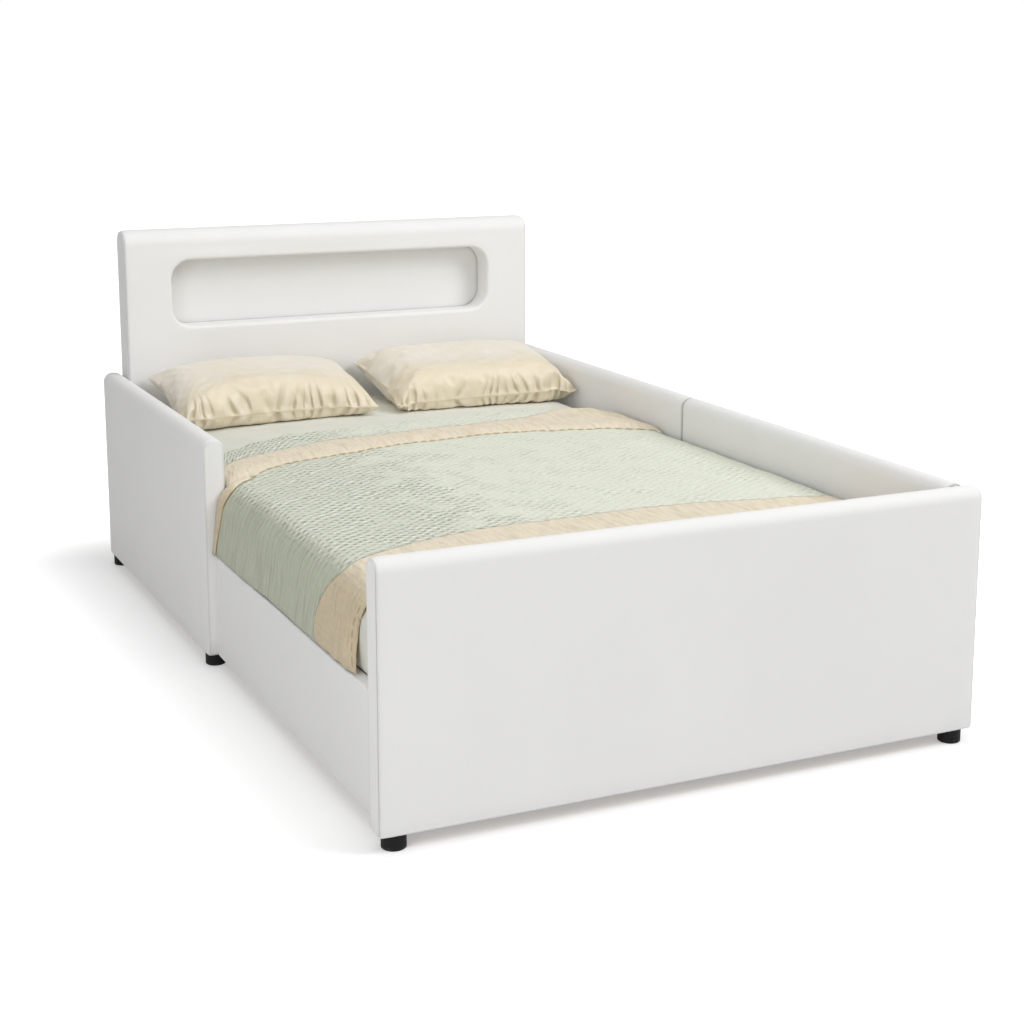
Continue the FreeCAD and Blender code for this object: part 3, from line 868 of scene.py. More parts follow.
@dataclass
class PaddedPanel:
    """Cover of one panel: an upright arch in section, with flat sewn-in ends.

    The section rises from a turned-in rim, round the lower edge, up the face and over a crown to the
    spine, and its loops run right round the panel. Towards each end the face draws in along a quarter
    ellipse to the seam, where a narrow groove divides it from the end.
    """

    node: str
    along: Along
    crown_flat: float = 0.003
    padding: float = 0.012
    rim_rise: float = 0.003
    lower_radius: float = 0.005
    seam_draw: float = 0.0042
    seam_reach: float = 0.024
    groove_depth: float = 0.0022
    groove_width: float = 0.0011
    groove_place: float = 0.0016
    end_swell: float = 0.0012
    end_margin: float = 0.05
    face_swell: float = 0.0005
    swell_wave: float = 0.55
    swell_fade: float = 0.2
    seam_shade: float = 0.38
    seam_width: float = 0.0026
    face_step: float = 0.03
    end_places: Series = (0.0, 0.0008, 0.0016, 0.0024, 0.0034, 0.005, 0.0075, 0.011, 0.016, 0.024, 0.036)
    end_sides: Series = (-0.985, -0.95, -0.86, -0.7, -0.45, -0.15, 0.15, 0.45, 0.7, 0.86, 0.95, 0.985)
    edge_steps: int = 6
    crown_steps: int = 14
    seed: int = 11
    fill: float = 0.85

    def __post_init__(self) -> None:
        """Take the panel's place and size from its solid."""
        low, high = (np.array(corner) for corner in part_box(self.node))
        long_axis, thin_axis = self.along.value
        self.low = low
        self.length = high[long_axis] - low[long_axis]
        self.thickness = high[thin_axis] - low[thin_axis]
        self.height = high[2] - low[2]

    def stations(self) -> Array:
        """Places along the length, close together towards the seams.

        Returns:
            The places, in rising order.
        """
        ends = np.array(self.end_places)
        count = max(3, round(self.length / self.face_step))
        middle = np.linspace(self.end_margin, self.length - self.end_margin, count)
        return np.unique(np.concatenate([mirrored(ends, self.length), middle]))

    def levels(self, spring: float) -> Array:
        """Heights up the face, from the lower edge to where the crown springs."""
        return np.linspace(self.lower_radius, spring, max(4, round(spring / self.face_step)))[1:-1]

    def section(self) -> dict[str, Array]:
        """Half thickness, height, lean of the outward normal, shortening and softness up the section.

        Returns:
            One array for each, from the middle of the underside to the spine.
        """
        radius = (self.thickness - self.crown_flat) / 2
        spring = self.height - radius
        half = self.thickness / 2
        edge = self.lower_radius
        turn = np.linspace(0, math.pi / 2, self.edge_steps)
        climb = np.linspace(0, math.pi / 2, self.crown_steps)
        face = self.levels(spring)
        rim = half - self.padding
        still = np.zeros(len(face) + len(climb) + 1)
        arch = self.crown_flat / 2 + radius * np.cos(climb)
        upright = np.full(len(face), half)
        turned = [self.rim_rise, self.rim_rise, 0]
        rise = spring + radius * np.sin(climb)
        under, over = np.full(3, -math.pi / 2), [math.pi / 2]
        return {
            "half": np.concatenate([[0, rim, rim], half - edge + edge * np.sin(turn), upright, arch, [0]]),
            "level": np.concatenate([turned, edge - edge * np.cos(turn), face, rise, [self.height]]),
            "lean": np.concatenate([under, turn - math.pi / 2, np.zeros(len(face)), climb, over]),
            "short": np.concatenate([np.full(3, self.padding), edge - edge * np.sin(turn), still]),
            "soft": np.concatenate([np.zeros(3), np.sin(turn), still + 1]),
        }

    def girth(self) -> tuple[Array, Array]:
        """Columns once round the panel: along one face, across an end, and back.

        Returns:
            Each column's place along the length, and its side from -1 to 1.
        """
        run = self.stations()
        across = np.array(self.end_sides)
        place = np.concatenate([run, np.full(len(across), self.length), run[::-1], np.zeros(len(across))])
        side = np.concatenate([np.full(len(run), -1.0), across, np.full(len(run), 1.0), across[::-1]])
        return place, side

    def draw_in(self, distance: Array) -> Array:
        """How far the face lies in near the seam: a quarter ellipse and a narrow groove.

        Args:
            distance: how far from the seam.

        Returns:
            The depth at each distance.
        """
        share = np.clip(1 - distance / self.seam_reach, 0.0, 1.0)
        groove = np.exp(-((distance - self.groove_place) / self.groove_width) ** 2)
        return self.seam_draw * (1 - np.sqrt(1 - share ** 2)) + self.groove_depth * groove * (distance > 0)

    def surface(self) -> tuple[Array, Array]:
        """The cover's grid and its seam mark.

        Returns:
            Points, section by girth by 3, and how near each one is to a seam, from 0 to 1.
        """
        rows = {key: values[:, None] for key, values in self.section().items()}
        place, side = self.girth()
        distance = np.minimum(place, self.length - place)
        draw = rows["soft"] * self.draw_in(distance)
        run = rows["short"] + place * (1 - 2 * rows["short"] / self.length)
        thick = side * (rows["half"] - draw * np.cos(rows["lean"]))
        level = rows["level"] - draw * np.sin(rows["lean"])
        ends = (np.abs(side) < 1) * rows["soft"] * self.end_swell * (1 - side ** 2)
        run = run + np.where(place > self.length / 2, ends, -ends)
        calm = eased(distance, 0.0, self.swell_fade) * rows["soft"] * np.cos(rows["lean"])
        wave = ripple(run + 3 * side, level, self.swell_wave, self.seed)
        thick = thick + side * (np.abs(side) == 1) * self.face_swell * calm * wave
        to_seam = np.where(np.abs(side) < 1, (1 - np.abs(side)) * rows["half"], distance)
        seam = self.seam_shade * rows["soft"] * np.exp(-(to_seam / self.seam_width) ** 2)
        return self.placed(run, thick, level), seam

    def placed(self, run: Array, thick: Array, level: Array) -> Array:
        """Points of the panel in the bed's frame.

        Args:
            run: places along the panel.
            thick: places across it, from its middle.
            level: heights above its base.

        Returns:
            The points, in the shape that the places share.
        """
        long_axis, thin_axis = self.along.value
        points = np.empty((*np.broadcast(run, thick, level).shape, 3))
        points[..., long_axis] = self.low[long_axis] + run
        points[..., thin_axis] = self.low[thin_axis] + self.thickness / 2 + thick
        points[..., 2] = self.low[2] + level
        return points

    def build(self) -> Piece:
        """Make the padded cover in place of its solid.

        Returns:
            The cover.
        """
        points, seam = self.surface()
        shell = Shell(self.node.replace("_cover", "_upholstery"))
        shell.add(points, closed=True, seam=seam)
        made = shell.piece(PALETTE.cover, sharp=60.0)
        return declared(made, "bed_frame", self.node)


@dataclass
class Niche:
    """Rounded opening in the headboard's face, with its walls and back."""

    width: float = 0.960
    height: float = 0.186
    corner: float = 0.055
    lip: float = 0.009
    wall: float = 0.010
    wall_swell: float = 0.0012
    wall_flare: float = 0.0016
    flare_share: float = 0.05
    wall_seam: float = 0.003
    back_swell: float = 0.0026
    back_reach: float = 0.008
    back_seam: float = 0.0022
    back_insets: Series = (0.0, 0.0012, 0.003, 0.006, 0.012, 0.022, 0.036, 0.05)
    seam_shade: float = 0.38
    corner_points: int = 15
    side_points: tuple[int, int] = (56, 7)
    wall_rows: int = 9
    field_rows: int = 9
    fill: float = 0.9

    def __post_init__(self) -> None:
        """Take the niche's middle from its liner."""
        low, high = (np.array(spot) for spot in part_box("niche_liner"))
        self.middle = (low + high) / 2
        self.front, self.back = low[1], high[1]
        self.core = np.array([self.width / 2 - self.corner, self.height / 2 - self.corner])

    def rays(self, x: Array, z: Array) -> tuple[Array, Array, Array]:
        """Nearest core point and outward direction for points outside the opening's core.

        Args:
            x: places across the headboard.
            z: heights.

        Returns:
            Core points, unit directions, and distances from the core.
        """
        flat = np.stack([x - self.middle[0], z - self.middle[2]], axis=-1)
        core = np.clip(flat, -self.core, self.core)
        away = flat - core
        distance = np.linalg.norm(away, axis=-1)
        return core, away / distance[..., None], distance

    def ring(self, core: Array, aim: Array, offset: Array, depth: Array) -> Array:
        """Loops round the opening.

        Args:
            core: core points, once round.
            aim: unit directions away from them.
            offset: how far outside the outline, loops by points.
            depth: places along +Y, loops by points or by one.

        Returns:
            Points, loops by points by 3.
        """
        reach = (self.corner + offset)[..., None]
        flat = core[None] + reach * aim[None]
        level = np.broadcast_to(depth, flat.shape[:2])
        return np.stack([self.middle[0] + flat[..., 0], level, self.middle[2] + flat[..., 1]], axis=-1)

    def outline(self) -> tuple[Array, Array]:
        """Core points and unit directions once round the opening."""
        return rounded_loop(self.core, self.corner_points, self.side_points)

    def build_liner(self) -> Piece:
        """Padded walls: a closed section carried round the outline, swelling a little into the niche.

        Returns:
            The walls.
        """
        core, aim = self.outline()
        depth = np.linspace(0, 1, self.wall_rows)
        flare = self.wall_flare * np.exp(-((1 - depth) / self.flare_share) ** 2)
        swell = flare - self.wall_swell * np.sin(math.pi * depth)
        offset = np.concatenate([swell, [self.wall, self.wall]])
        level = np.concatenate([self.front + depth * (self.back - self.front), [self.back, self.front]])
        points = self.ring(core, aim, np.tile(offset[:, None], len(core)), level[:, None])
        points = np.concatenate([points, points[:1]])
        seam = self.seam_shade * np.exp(-((self.back - points[..., 1]) / self.wall_seam) ** 2)
        shell = Shell("niche_wall_pad")
        shell.add(points, closed=True, seam=seam)
        made = shell.piece(PALETTE.cover, sharp=50.0)
        return declared(made, "bed_frame", "niche_liner")

    def build_back(self) -> Piece:
        """Padded back: loops drawn in from the rim to the middle, swelling by a flat-topped curve.

        Returns:
            The back.
        """
        core, aim = self.outline()
        low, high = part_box("niche_back_panel")
        inward = np.concatenate([[self.wall], -np.array(self.back_insets)])
        swell = self.back_swell * (1 - np.exp(-np.clip(-inward, 0, None) / self.back_reach))
        rim = self.ring(core, aim, np.tile(inward[:, None], len(core)), (low[1] - swell)[:, None])
        share = np.linspace(1, 0, self.field_rows)[1:, None, None]
        middle = np.array([self.middle[0], low[1] - swell[-1], self.middle[2]])
        field = middle + share * (rim[-1:] - middle)
        back = self.ring(core, aim, np.full((1, len(core)), self.wall), np.array([[high[1]]]))
        centre = np.broadcast_to((self.middle[0], high[1], self.middle[2]), back.shape)
        points = np.concatenate([centre, back, rim, field])
        edge = np.concatenate([np.full(2, 2 * self.wall), inward, np.full(len(field), inward[-1])])
        shade = self.seam_shade * np.exp(-(edge / self.back_seam) ** 2)
        shell = Shell("niche_back_pad")
        shell.add(points, closed=True, seam=np.broadcast_to(shade[:, None], points.shape[:2]))
        made = shell.piece(PALETTE.cover, sharp=50.0)
        return declared(made, "bed_frame", "niche_back_panel")


@dataclass
class Headboard(PaddedPanel):
    """Headboard cover: a padded panel pierced by the niche, with a rebate for the board on its back."""

    crown_flat: float = 0.010
    seam_draw: float = 0.005
    seam_reach: float = 0.022
    crown_steps: int = 18
    window_margin: float = 0.028
    window_step: float = 0.008
    window_clear: float = 0.004
    lower_rows: int = 18
    rebate: float = 0.0065
    rebate_edge: float = 0.0004
    rebate_margin: float = 0.006
    mouth_clear: float = 0.0004
    mouth_overlap: float = 0.001
    mouth_shares: Series = (0.35, 0.7, 1.0)

    def __post_init__(self) -> None:
        """Take the headboard's place from its solid, and the window that the niche stands in."""
        super().__post_init__()
        self.niche = Niche()
        half = np.array([self.niche.width, self.niche.height]) / 2 + self.window_margin
        centre = np.array([self.niche.middle[0] - self.low[0], self.niche.middle[2] - self.low[2]])
        self.window_low, self.window_high = centre - half, centre + half

    def stations(self) -> Array:
        """Places along the length: the panel's own near the ends, the board's edge, and the window's.

        Returns:
            The places, in rising order.
        """
        low, high = self.window_low[0], self.window_high[0]
        panel = super().stations()
        ends = panel[(panel < low - self.window_clear) | (panel > high + self.window_clear)]
        board = mirrored(np.array([self.padding - self.rebate_edge, self.padding]), self.length)
        window = np.linspace(low, high, round((high - low) / self.window_step) + 1)
        return np.unique(np.round(np.concatenate([ends, board, window]), 7))

    def levels(self, spring: float) -> Array:
        """Heights up the face: wide steps below the window, narrow ones through it.

        Args:
            spring: the height where the crown springs.

        Returns:
            The heights, in rising order.
        """
        low, high = self.window_low[1], self.window_high[1]
        below = np.linspace(self.lower_radius, low, self.lower_rows)[1:-1]
        window = np.linspace(low, high, round((high - low) / self.window_step) + 1)
        return np.concatenate([below, window, [spring - self.rebate_margin, spring - self.rebate_edge]])

    def build(self) -> Piece:
        """Make the cover: the panel's grid without its window, and a ring through the niche's mouth.

        Returns:
            The cover.
        """
        points, seam = self.surface()
        place, side = self.girth()
        level = self.section()["level"]
        spring = self.height - (self.thickness - self.crown_flat) / 2
        framed = (place > self.padding - NEAR) & (place < self.length - self.padding + NEAR)
        board = (level < spring - self.rebate_edge / 4)[:, None] & (framed & (side == 1))[None, :]
        points[..., 1] = np.where(board, self.low[1] + self.thickness - self.rebate, points[..., 1])

        across = (place > self.window_low[0] - NEAR) & (place < self.window_high[0] + NEAR)
        inside = across & (np.abs(side) == 1)
        within = (level > self.window_low[1] - NEAR) & (level < self.window_high[1] + NEAR)
        keep = ~((within[:-1] & within[1:])[:, None] & (inside & np.roll(inside, -1))[None, :])
        shell = Shell(self.node.replace("_cover", "_upholstery"))
        shell.add(points, closed=True, keep=keep, seam=seam)

        rows = np.flatnonzero(within)
        front = np.flatnonzero(inside & (side == -1))
        behind = np.flatnonzero(inside & (side == 1))[::-1]
        mouth = self.mouth(self.loop(points, rows, front), self.loop(points, rows, behind))
        shell.add(mouth, closed=True, seam=np.zeros(mouth.shape[:2]))
        made = shell.piece(PALETTE.cover, sharp=50.0)
        return declared(made, "bed_frame", self.node)

    @staticmethod
    def loop(points: Array, rows: Array, columns: Array) -> Array:
        """Points once round the edge of a window of the grid: along its foot, up, back and down.

        Args:
            points: the whole grid.
            rows: the window's rows.
            columns: the window's columns.

        Returns:
            The points, in order.
        """
        foot = points[rows[0], columns]
        right = points[rows[1:], columns[-1]]
        top = points[rows[-1], columns[-2::-1]]
        left = points[rows[-2:0:-1], columns[0]]
        return np.concatenate([foot, right, top, left])

    def mouth(self, front: Array, back: Array) -> Array:
        """Ring from the face, over a round lip, through the headboard to its back.

        Args:
            front: the window's edge on the face.
            back: the same edge on the back.

        Returns:
            Loops of points, from the face to the back.
        """
        niche = self.niche
        core, aim, distance = niche.rays(front[:, 0], front[:, 2])
        start = distance - niche.corner
        share = np.array(self.mouth_shares)[:, None]
        flat = start + share * (niche.lip - start)
        turn = np.linspace(0, math.pi / 2, 9)[1:]
        lip = niche.lip * (1 - np.sin(turn))
        behind = niche.wall + self.mouth_clear
        offset = np.concatenate([lip, [0.0, behind, behind]])
        face, rear = self.low[1], back[:, 1].mean()
        step = niche.front + self.mouth_overlap
        depth = np.concatenate([face + niche.lip * (1 - np.cos(turn)), [step, step, rear]])
        whole = np.concatenate([flat, np.tile(offset[:, None], len(front))])
        at = np.concatenate([np.full(len(share), face), depth])
        ring = niche.ring(core, aim, whole, at[:, None])
        return np.concatenate([front[None], ring, back[None]])


# Bedding


@dataclass
class MattressForm:
    """Crowned slab with soft edges, from which the mattress and the sheet over it are grown.

    Round the slab runs a rounded rectangle, whose corners squareness draws out towards sharp ones. Up its
    side the section stands straight, turns through a quarter round at the upper edge, and then runs in
    over a crown that falls with the square of x. On the open side it bulges over the low rail, between
    the guard's end and the footboard.
    """

    edge: float = 0.058
    corner: float = 0.062
    crown: float = 0.012
    squareness: float = 0.8
    rows: Series = (0.0, 0.05, 0.093, 0.145, 0.22, 0.34, 0.48, 0.64, 0.82)
    bulge: float = 0.016
    bulge_low: Span = (0.2740, 0.2800)
    bulge_high: Span = (0.372, 0.425)
    bulge_foot: Span = (-1.040, -1.020)
    bulge_head: Span = (-0.040, 0.035)
    bulge_turn: float = 1.6
    spine_inset: float = 0.4
    corner_points: int = 9
    edge_points: int = 8

    def __post_init__(self) -> None:
        """Take the mattress's place from its solid."""
        low, high = (np.array(spot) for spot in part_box("mattress"))
        self.low, self.high = low, high
        self.middle = (low + high) / 2
        self.half = (high - low)[:2] / 2

    def top(self, x: Array, grow: float) -> Array:
        """Height of the crowned top, grown outwards, at x."""
        return self.high[2] + grow - self.crown * ((x - self.middle[0]) / (self.half[0] + grow)) ** 2

    def side(self, grow: float, start: float, step: float) -> Array:
        """Loops up the side and over the upper edge.

        Args:
            grow: how far outside the mattress.
            start: height of the lowest loop.
            step: spacing round the slab.

        Returns:
            Loops of points, from the lowest up to where the flat of the top begins.
        """
        core = self.half - self.corner
        runs = tuple(round(2 * reach / step) for reach in core)
        base, aim = rounded_loop(core, self.corner_points, runs)
        radius = self.edge + grow
        turn = np.linspace(0, math.pi / 2, self.edge_points)
        rise = np.array(self.rows)
        corner = self.corner + grow
        out = np.concatenate([np.full(len(rise), corner), corner - radius * (1 - np.cos(turn))])
        stretch = 1 + self.squareness * (1 / np.abs(aim).max(axis=-1) - 1)
        plan = self.middle[:2] + base[None] + (out[:, None] * stretch)[..., None] * aim[None]
        top = self.top(plan[..., 0], grow)
        shoulder = top - radius
        upright = start + rise[:, None] * (shoulder[:len(rise)] - start)
        bend = shoulder[len(rise):] + radius * np.sin(turn)[:, None]
        level = np.concatenate([upright, bend])
        swell = eased(level, *self.bulge_low) * (1 - eased(level, *self.bulge_high))
        reach = eased(plan[..., 1], *self.bulge_foot) * (1 - eased(plan[..., 1], *self.bulge_head))
        plan[..., 0] -= self.bulge * swell * reach * np.clip(-self.bulge_turn * aim[:, 0], 0.0, 1.0)
        return np.concatenate([plan, level[..., None]], axis=-1)

    def over(self, rim: Array, grow: float, rows: int) -> Array:
        """Loops from the rim in to the middle of the top, drawn in towards a spine along Y.

        Args:
            rim: points once round the edge of the top.
            grow: how far outside the mattress.
            rows: how many loops there are, with the rim.

        Returns:
            Loops of points inside the rim.
        """
        share = np.linspace(1, 0, rows)[1:, None]
        half = self.half[1] - self.spine_inset
        spine = np.clip(rim[:, 1], self.middle[1] - half, self.middle[1] + half)
        x = self.middle[0] + share * (rim[:, 0] - self.middle[0])
        y = spine + share * (rim[:, 1] - spine)
        return np.stack([x, y, self.top(x, grow)], axis=-1)


@dataclass
class Mattress:
    """Mattress in its ticking, with a rounded edge round its base."""

    form: MattressForm
    base_radius: float = 0.012
    inset: float = 0.0004
    step: float = 0.04
    edge_rows: int = 5
    top_rows: int = 12
    base_rows: int = 8
    fill: float = 0.95

    def build(self) -> Piece:
        """Make the mattress: its side, its crowned top, and a base with a rounded edge.

        Returns:
            The mattress.
        """
        floor = self.form.low[2]
        side = self.form.side(-self.inset, floor + self.base_radius, self.step)
        top = self.form.over(side[-1], -self.inset, self.top_rows)
        turn = np.linspace(math.pi / 2, 0, self.edge_rows)[:, None]
        rim = side[0]
        inward = self.form.middle[:2] - rim[:, :2]
        inward = inward / np.linalg.norm(inward, axis=-1, keepdims=True)
        plan = rim[:, :2] + self.base_radius * (1 - np.cos(turn))[..., None] * inward
        level = np.broadcast_to(floor + self.base_radius * (1 - np.sin(turn)), plan.shape[:2])
        lower = np.concatenate([plan, level[..., None]], axis=-1)
        base = self.form.over(lower[0], 0.0, self.base_rows)[::-1]
        base[..., 2] = floor
        points = np.concatenate([base, lower[:-1], side, top])
        shell = Shell("mattress_body")
        shell.add(points, closed=True, flat=points + points[..., 2:])
        return declared(shell.piece(PALETTE.ticking), "mattress", "mattress")


@dataclass
class FittedSheet:
    """Cotton sheet pulled over the mattress, with an elastic hem that gathers it near the base."""

    form: MattressForm
    gap: float = 0.0012
    thickness: float = 0.0011
    hem_lift: float = 0.012
    step: float = 0.014
    top_rows: int = 46
    gather: float = 0.0005
    gather_rate: float = 260.0
    gather_fade: float = 0.03
    gather_wave: float = 0.3
    crease: float = 0.0007
    crease_wave: float = 0.16
    wrinkle: float = 0.0004
    wrinkle_wave: float = 0.05
    top_level: Span = (0.43, 0.445)
    flat: Span = (1.58, 2.38)

    def build(self) -> Piece:
        """Make the sheet: side and top in one surface, with creases that fade from the hem and edges.

        Slow and quick waves lift the top, and a sine round the slab gathers the hem.

        Returns:
            The sheet.
        """
        hem = self.form.low[2] + self.hem_lift
        side = self.form.side(self.gap, hem, self.step)
        top = self.form.over(side[-1], self.gap, self.top_rows)
        points = np.concatenate([side, top])
        x, y, z = points[..., 0], points[..., 1], points[..., 2]
        gather = np.exp(-(z - hem) / self.gather_fade)
        around = np.arctan2(y - self.form.middle[1], x - self.form.middle[0])
        crease = self.crease * ripple(x, y, self.crease_wave, 5)
        wrinkle = self.wrinkle * (1 + ripple(x, y, self.wrinkle_wave, 8))
        points[..., 2] += eased(z, *self.top_level) * (crease + wrinkle)
        pinch = 1 + np.sin(around * self.gather_rate + 2 * ripple(x, y, self.gather_wave, 4))
        inward = -self.gather * gather * pinch
        points[..., 0] += inward * np.cos(around)
        points[..., 1] += inward * np.sin(around)
        shell = Shell("fitted_sheet_cotton")
        shell.add(points, closed=True, flat=np.stack([x + 0.5 * z, y + 0.5 * z, z], axis=-1))
        made = shell.piece(PALETTE.sheet)
        wall = made.modifiers.new("thickness", "SOLIDIFY")
        wall.thickness = self.thickness
        wall.offset = -1.0
        declared(made, "mattress", "fitted_sheet")
        return made


@dataclass
class Quilt:
    """Stitched quilt: spread over the bed, its head end folded back, its left side hanging over the rail.

    Its cloth is one sheet. Across the top it runs at constant x from a foot line to a bowed crest, where
    it turns through a half round and comes back to the fold's hem. On the open side it rounds the
    mattress's edge along an arc and hangs to the rail, as far as the end of the guard. Its lines are
    smooth curves through stops: each pairs a place across, or a length down the side, with a place along
    the bed.
    """

    form: MattressForm
    thickness: float = 0.0075
    near_loft: float = 0.7
    rim_loft: float = 0.12
    least_loft: float = 0.1
    rest: float = 0.0026
    layer_gap: float = 0.0102
    hem_gap: float = 0.0046
    right_x: float = 0.601
    shoulder_x: float = -0.553
    shoulder_radius: float = 0.072
    shoulder_turn: float = math.radians(82)
    hem_z: float = 0.2785
    foot_y: float = -0.8925
    guard_y: float = 0.0455
    tuck_x: float = -0.6065
    step: float = 0.0105
    head_rows: int = 36
    fold_rows: int = 18
    hem_rows: int = 4
    bend_rows: int = 9
    tuck_columns: int = 6
    side_columns: int = 22
    weld: float = 2e-4
    droop_x: float = 0.572
    droop: float = 11.0
    swell: float = 0.0014
    swell_wave: float = 0.34
    pucker: float = 0.0007
    pucker_wave: float = 0.11
    # band where the pads are fullest: more bump, and more painted shade and highlight
    full_x: float = -0.50
    full_reach: float = 0.32
    foot_roll: float = 0.004
    foot_roll_width: float = 0.012
    foot_roll_wave: float = 0.09
    fold_ease: float = 0.25
    sewn_width: float = 0.016
    rim_width: float = 0.0035
    crimp: float = 0.0018
    crimp_wave: float = 0.070
    crimp_fade: Span = (0.12, 0.5)
    scallop: float = 0.0006
    scallop_pitch: float = 0.026
    scallop_wave: float = 0.2
    sway: float = 0.0022
    sway_wave: float = 0.30
    sway_start: float = 0.04
    flutter: float = 0.0010
    flutter_wave: float = 0.07
    strip_ease: float = 0.03
    strip_green: float = -0.05
    # how far down the side the cloth turns to its painted-shade colour
    hang_reach: float = 0.1
    pleat: float = 0.0036
    pleat_pitch: float = 0.058
    pleat_fade: float = 0.10
    pleat_rise: Span = (0.08, 0.16)
    pleat_slant: float = 0.35
    pleat_level: float = 0.4
    pleat_phase: float = 0.7
    ridge: float = 0.0020
    ridge_pitch: float = 0.027
    ridge_place: float = 0.075
    ridge_width: float = 0.05
    ridge_slant: float = 0.3
    ridge_rise: Span = (0.02, 0.06)
    ridge_fall: Span = (0.12, 0.17)
    curl: float = 0.0070
    curl_reach: float = 0.028
    curl_rise: Span = (0.02, 0.08)
    # where the painted shadow line runs inside the side's foot hem, how wide it is, and how far down it
    # starts
    hem_shadow_inset: float = 0.0105
    hem_shadow_width: float = 0.008
    hem_shadow_rise: Span = (0.05, 0.09)
    flat: Span = (1.40, 1.47)
    crest: Stops = (
        (-0.605, 0.200), (-0.545, 0.285), (-0.480, 0.335), (-0.397, 0.375), (-0.296, 0.400),
        (-0.008, 0.413), (0.220, 0.420), (0.360, 0.436), (0.480, 0.434), (0.575, 0.398), (0.605, 0.340))
    hem: Stops = (
        (-0.605, 0.005), (-0.553, 0.0395), (-0.530, 0.0650), (-0.508, 0.0890), (-0.480, 0.1080),
        (-0.446, 0.1250), (-0.337, 0.1560), (-0.221, 0.1810), (-0.051, 0.2150), (0.085, 0.2250),
        (0.226, 0.2230), (0.379, 0.2120), (0.524, 0.1800), (0.605, 0.1200))
    fold_line: Stops = (
        (-0.605, 0.140), (-0.564, 0.1750), (-0.493, 0.2150), (-0.407, 0.2450), (-0.288, 0.2750),
        (-0.172, 0.2900), (0.009, 0.3080), (0.125, 0.3080), (0.199, 0.3200), (0.300, 0.3500),
        (0.400, 0.4050), (0.480, 0.4600), (0.605, 0.4600))
    foot_line: Stops = (
        (-0.605, -0.7450), (-0.575, -0.7300), (-0.518, -0.7025), (-0.417, -0.6665), (-0.268, -0.6335),
        (-0.081, -0.6325), (0.143, -0.6265), (0.368, -0.6365), (0.605, -0.6650))
    side_line: Stops = (
        (0.0, -0.7195), (0.03, -0.7300), (0.055, -0.7320), (0.08, -0.7150), (0.113, -0.6880),
        (0.15, -0.6700), (0.185, -0.6670), (0.211, -0.6790), (0.23, -0.7000))
    side_hem: Stops = (
        (0.0, -0.8925), (0.055, -0.8860), (0.075, -0.8850), (0.095, -0.8790), (0.127, -0.8660),
        (0.155, -0.8630), (0.180, -0.8690), (0.205, -0.8860), (0.222, -0.9000))
    strip: Stops = (
        (0.0, 0.0395), (0.02, 0.0270), (0.045, 0.0150), (0.065, 0.0110), (0.10, 0.0180),
        (0.165, 0.0275), (0.22, 0.0330))

    def __post_init__(self) -> None:
        """Find the shares of the way along the spread and the fold at which the guard's end stands."""
        edge = np.array([self.shoulder_x])
        crest = curve_through(edge, self.crest)[0]
        hem = curve_through(edge, self.hem)[0]
        self.split = (self.guard_y - self.foot_y) / (crest - self.foot_y)
        self.turn = (crest - self.guard_y) / (crest - hem)

    def base(self, x: Array) -> Array:
        """Height of the lower layer's middle over the sheet, drooping over the mattress's edges.

        The right edge falls with the square of the distance past it, the left along an arc.

        Args:
            x: places across the bed.

        Returns:
            The heights.
        """
        right = np.clip(x - self.droop_x, 0.0, None) ** 2 * self.droop
        past = np.clip(self.shoulder_x - x, 0.0, 0.9 * self.shoulder_radius)
        left = self.shoulder_radius - np.sqrt(self.shoulder_radius ** 2 - past ** 2)
        top = self.form.top(np.clip(x, self.shoulder_x, self.right_x), self.rest)
        return top + self.thickness / 2 - right - left

    def loft(self, x: Array, y: Array, seed: int) -> Array:
        """Uneven loft of the filling, never below its bed: slow and quick waves, lifted to be positive.

        Args:
            x: places across the bed.
            y: places along it.
            seed: which set of waves.

        Returns:
            The heights over the bed of the filling.
        """
        slow = ripple(x, y, self.swell_wave, seed)
        quick = ripple(x, y, self.pucker_wave, seed + 1)
        return self.swell * (1 + slow).clip(0, 2) + self.pucker * (1 + quick).clip(0, 2)

    def lofty(self, x: Array) -> Array:
        """How full the cloth's pads are over the top: most near the open side's shoulder."""
        return 0.5 + 0.5 * np.exp(-((x - self.full_x) / self.full_reach) ** 2)

    def shares(self) -> tuple[Array, Array]:
        """Rows of the cloth, with one of them where the guard's end stands.

        Returns:
            Shares of the way along the spread, and along the fold.
        """
        lower = np.linspace(0, self.split, round((self.guard_y - self.foot_y) / self.step))
        upper = np.linspace(self.split, 1, self.head_rows)
        fold = np.linspace(0, self.turn, self.fold_rows)
        hem = np.linspace(self.turn, 1, self.hem_rows)
        return np.concatenate([lower, upper[1:]]), np.concatenate([fold, hem[1:]])

    def spread(self, x: Array, share: Array) -> tuple[Array, Marks]:
        """Lower layer over the top of the bed, with a low roll along its foot.

        Args:
            x: the columns' places across the bed.
            share: the rows' shares of the way from the foot to the crest.

        Returns:
            Points and marks of the layer.
        """
        x = np.broadcast_to(x, (len(share), len(x)))
        crest = curve_through(np.maximum(x, self.shoulder_x), self.crest)
        slip = (curve_through(x, self.crest) - crest) * eased(share, self.split, 1.0)[:, None]
        y = self.foot_y + share[:, None] * (crest - self.foot_y) + slip
        roll = self.foot_roll * np.exp(-((y - self.foot_y) / self.foot_roll_width) ** 2)
        uneven = 0.4 + 0.6 * ripple(x, y, self.foot_roll_wave, 23)
        z = self.base(x) + self.loft(x, y, 21) + roll * uneven
        none = np.zeros_like(x)
        marks = {"flat": np.stack([x, y, none], axis=-1), "green": y - curve_through(x, self.foot_line),
                 "lofty": self.lofty(x), "hang": none, "rim": none}
        return np.stack([x, y, z], axis=-1), marks

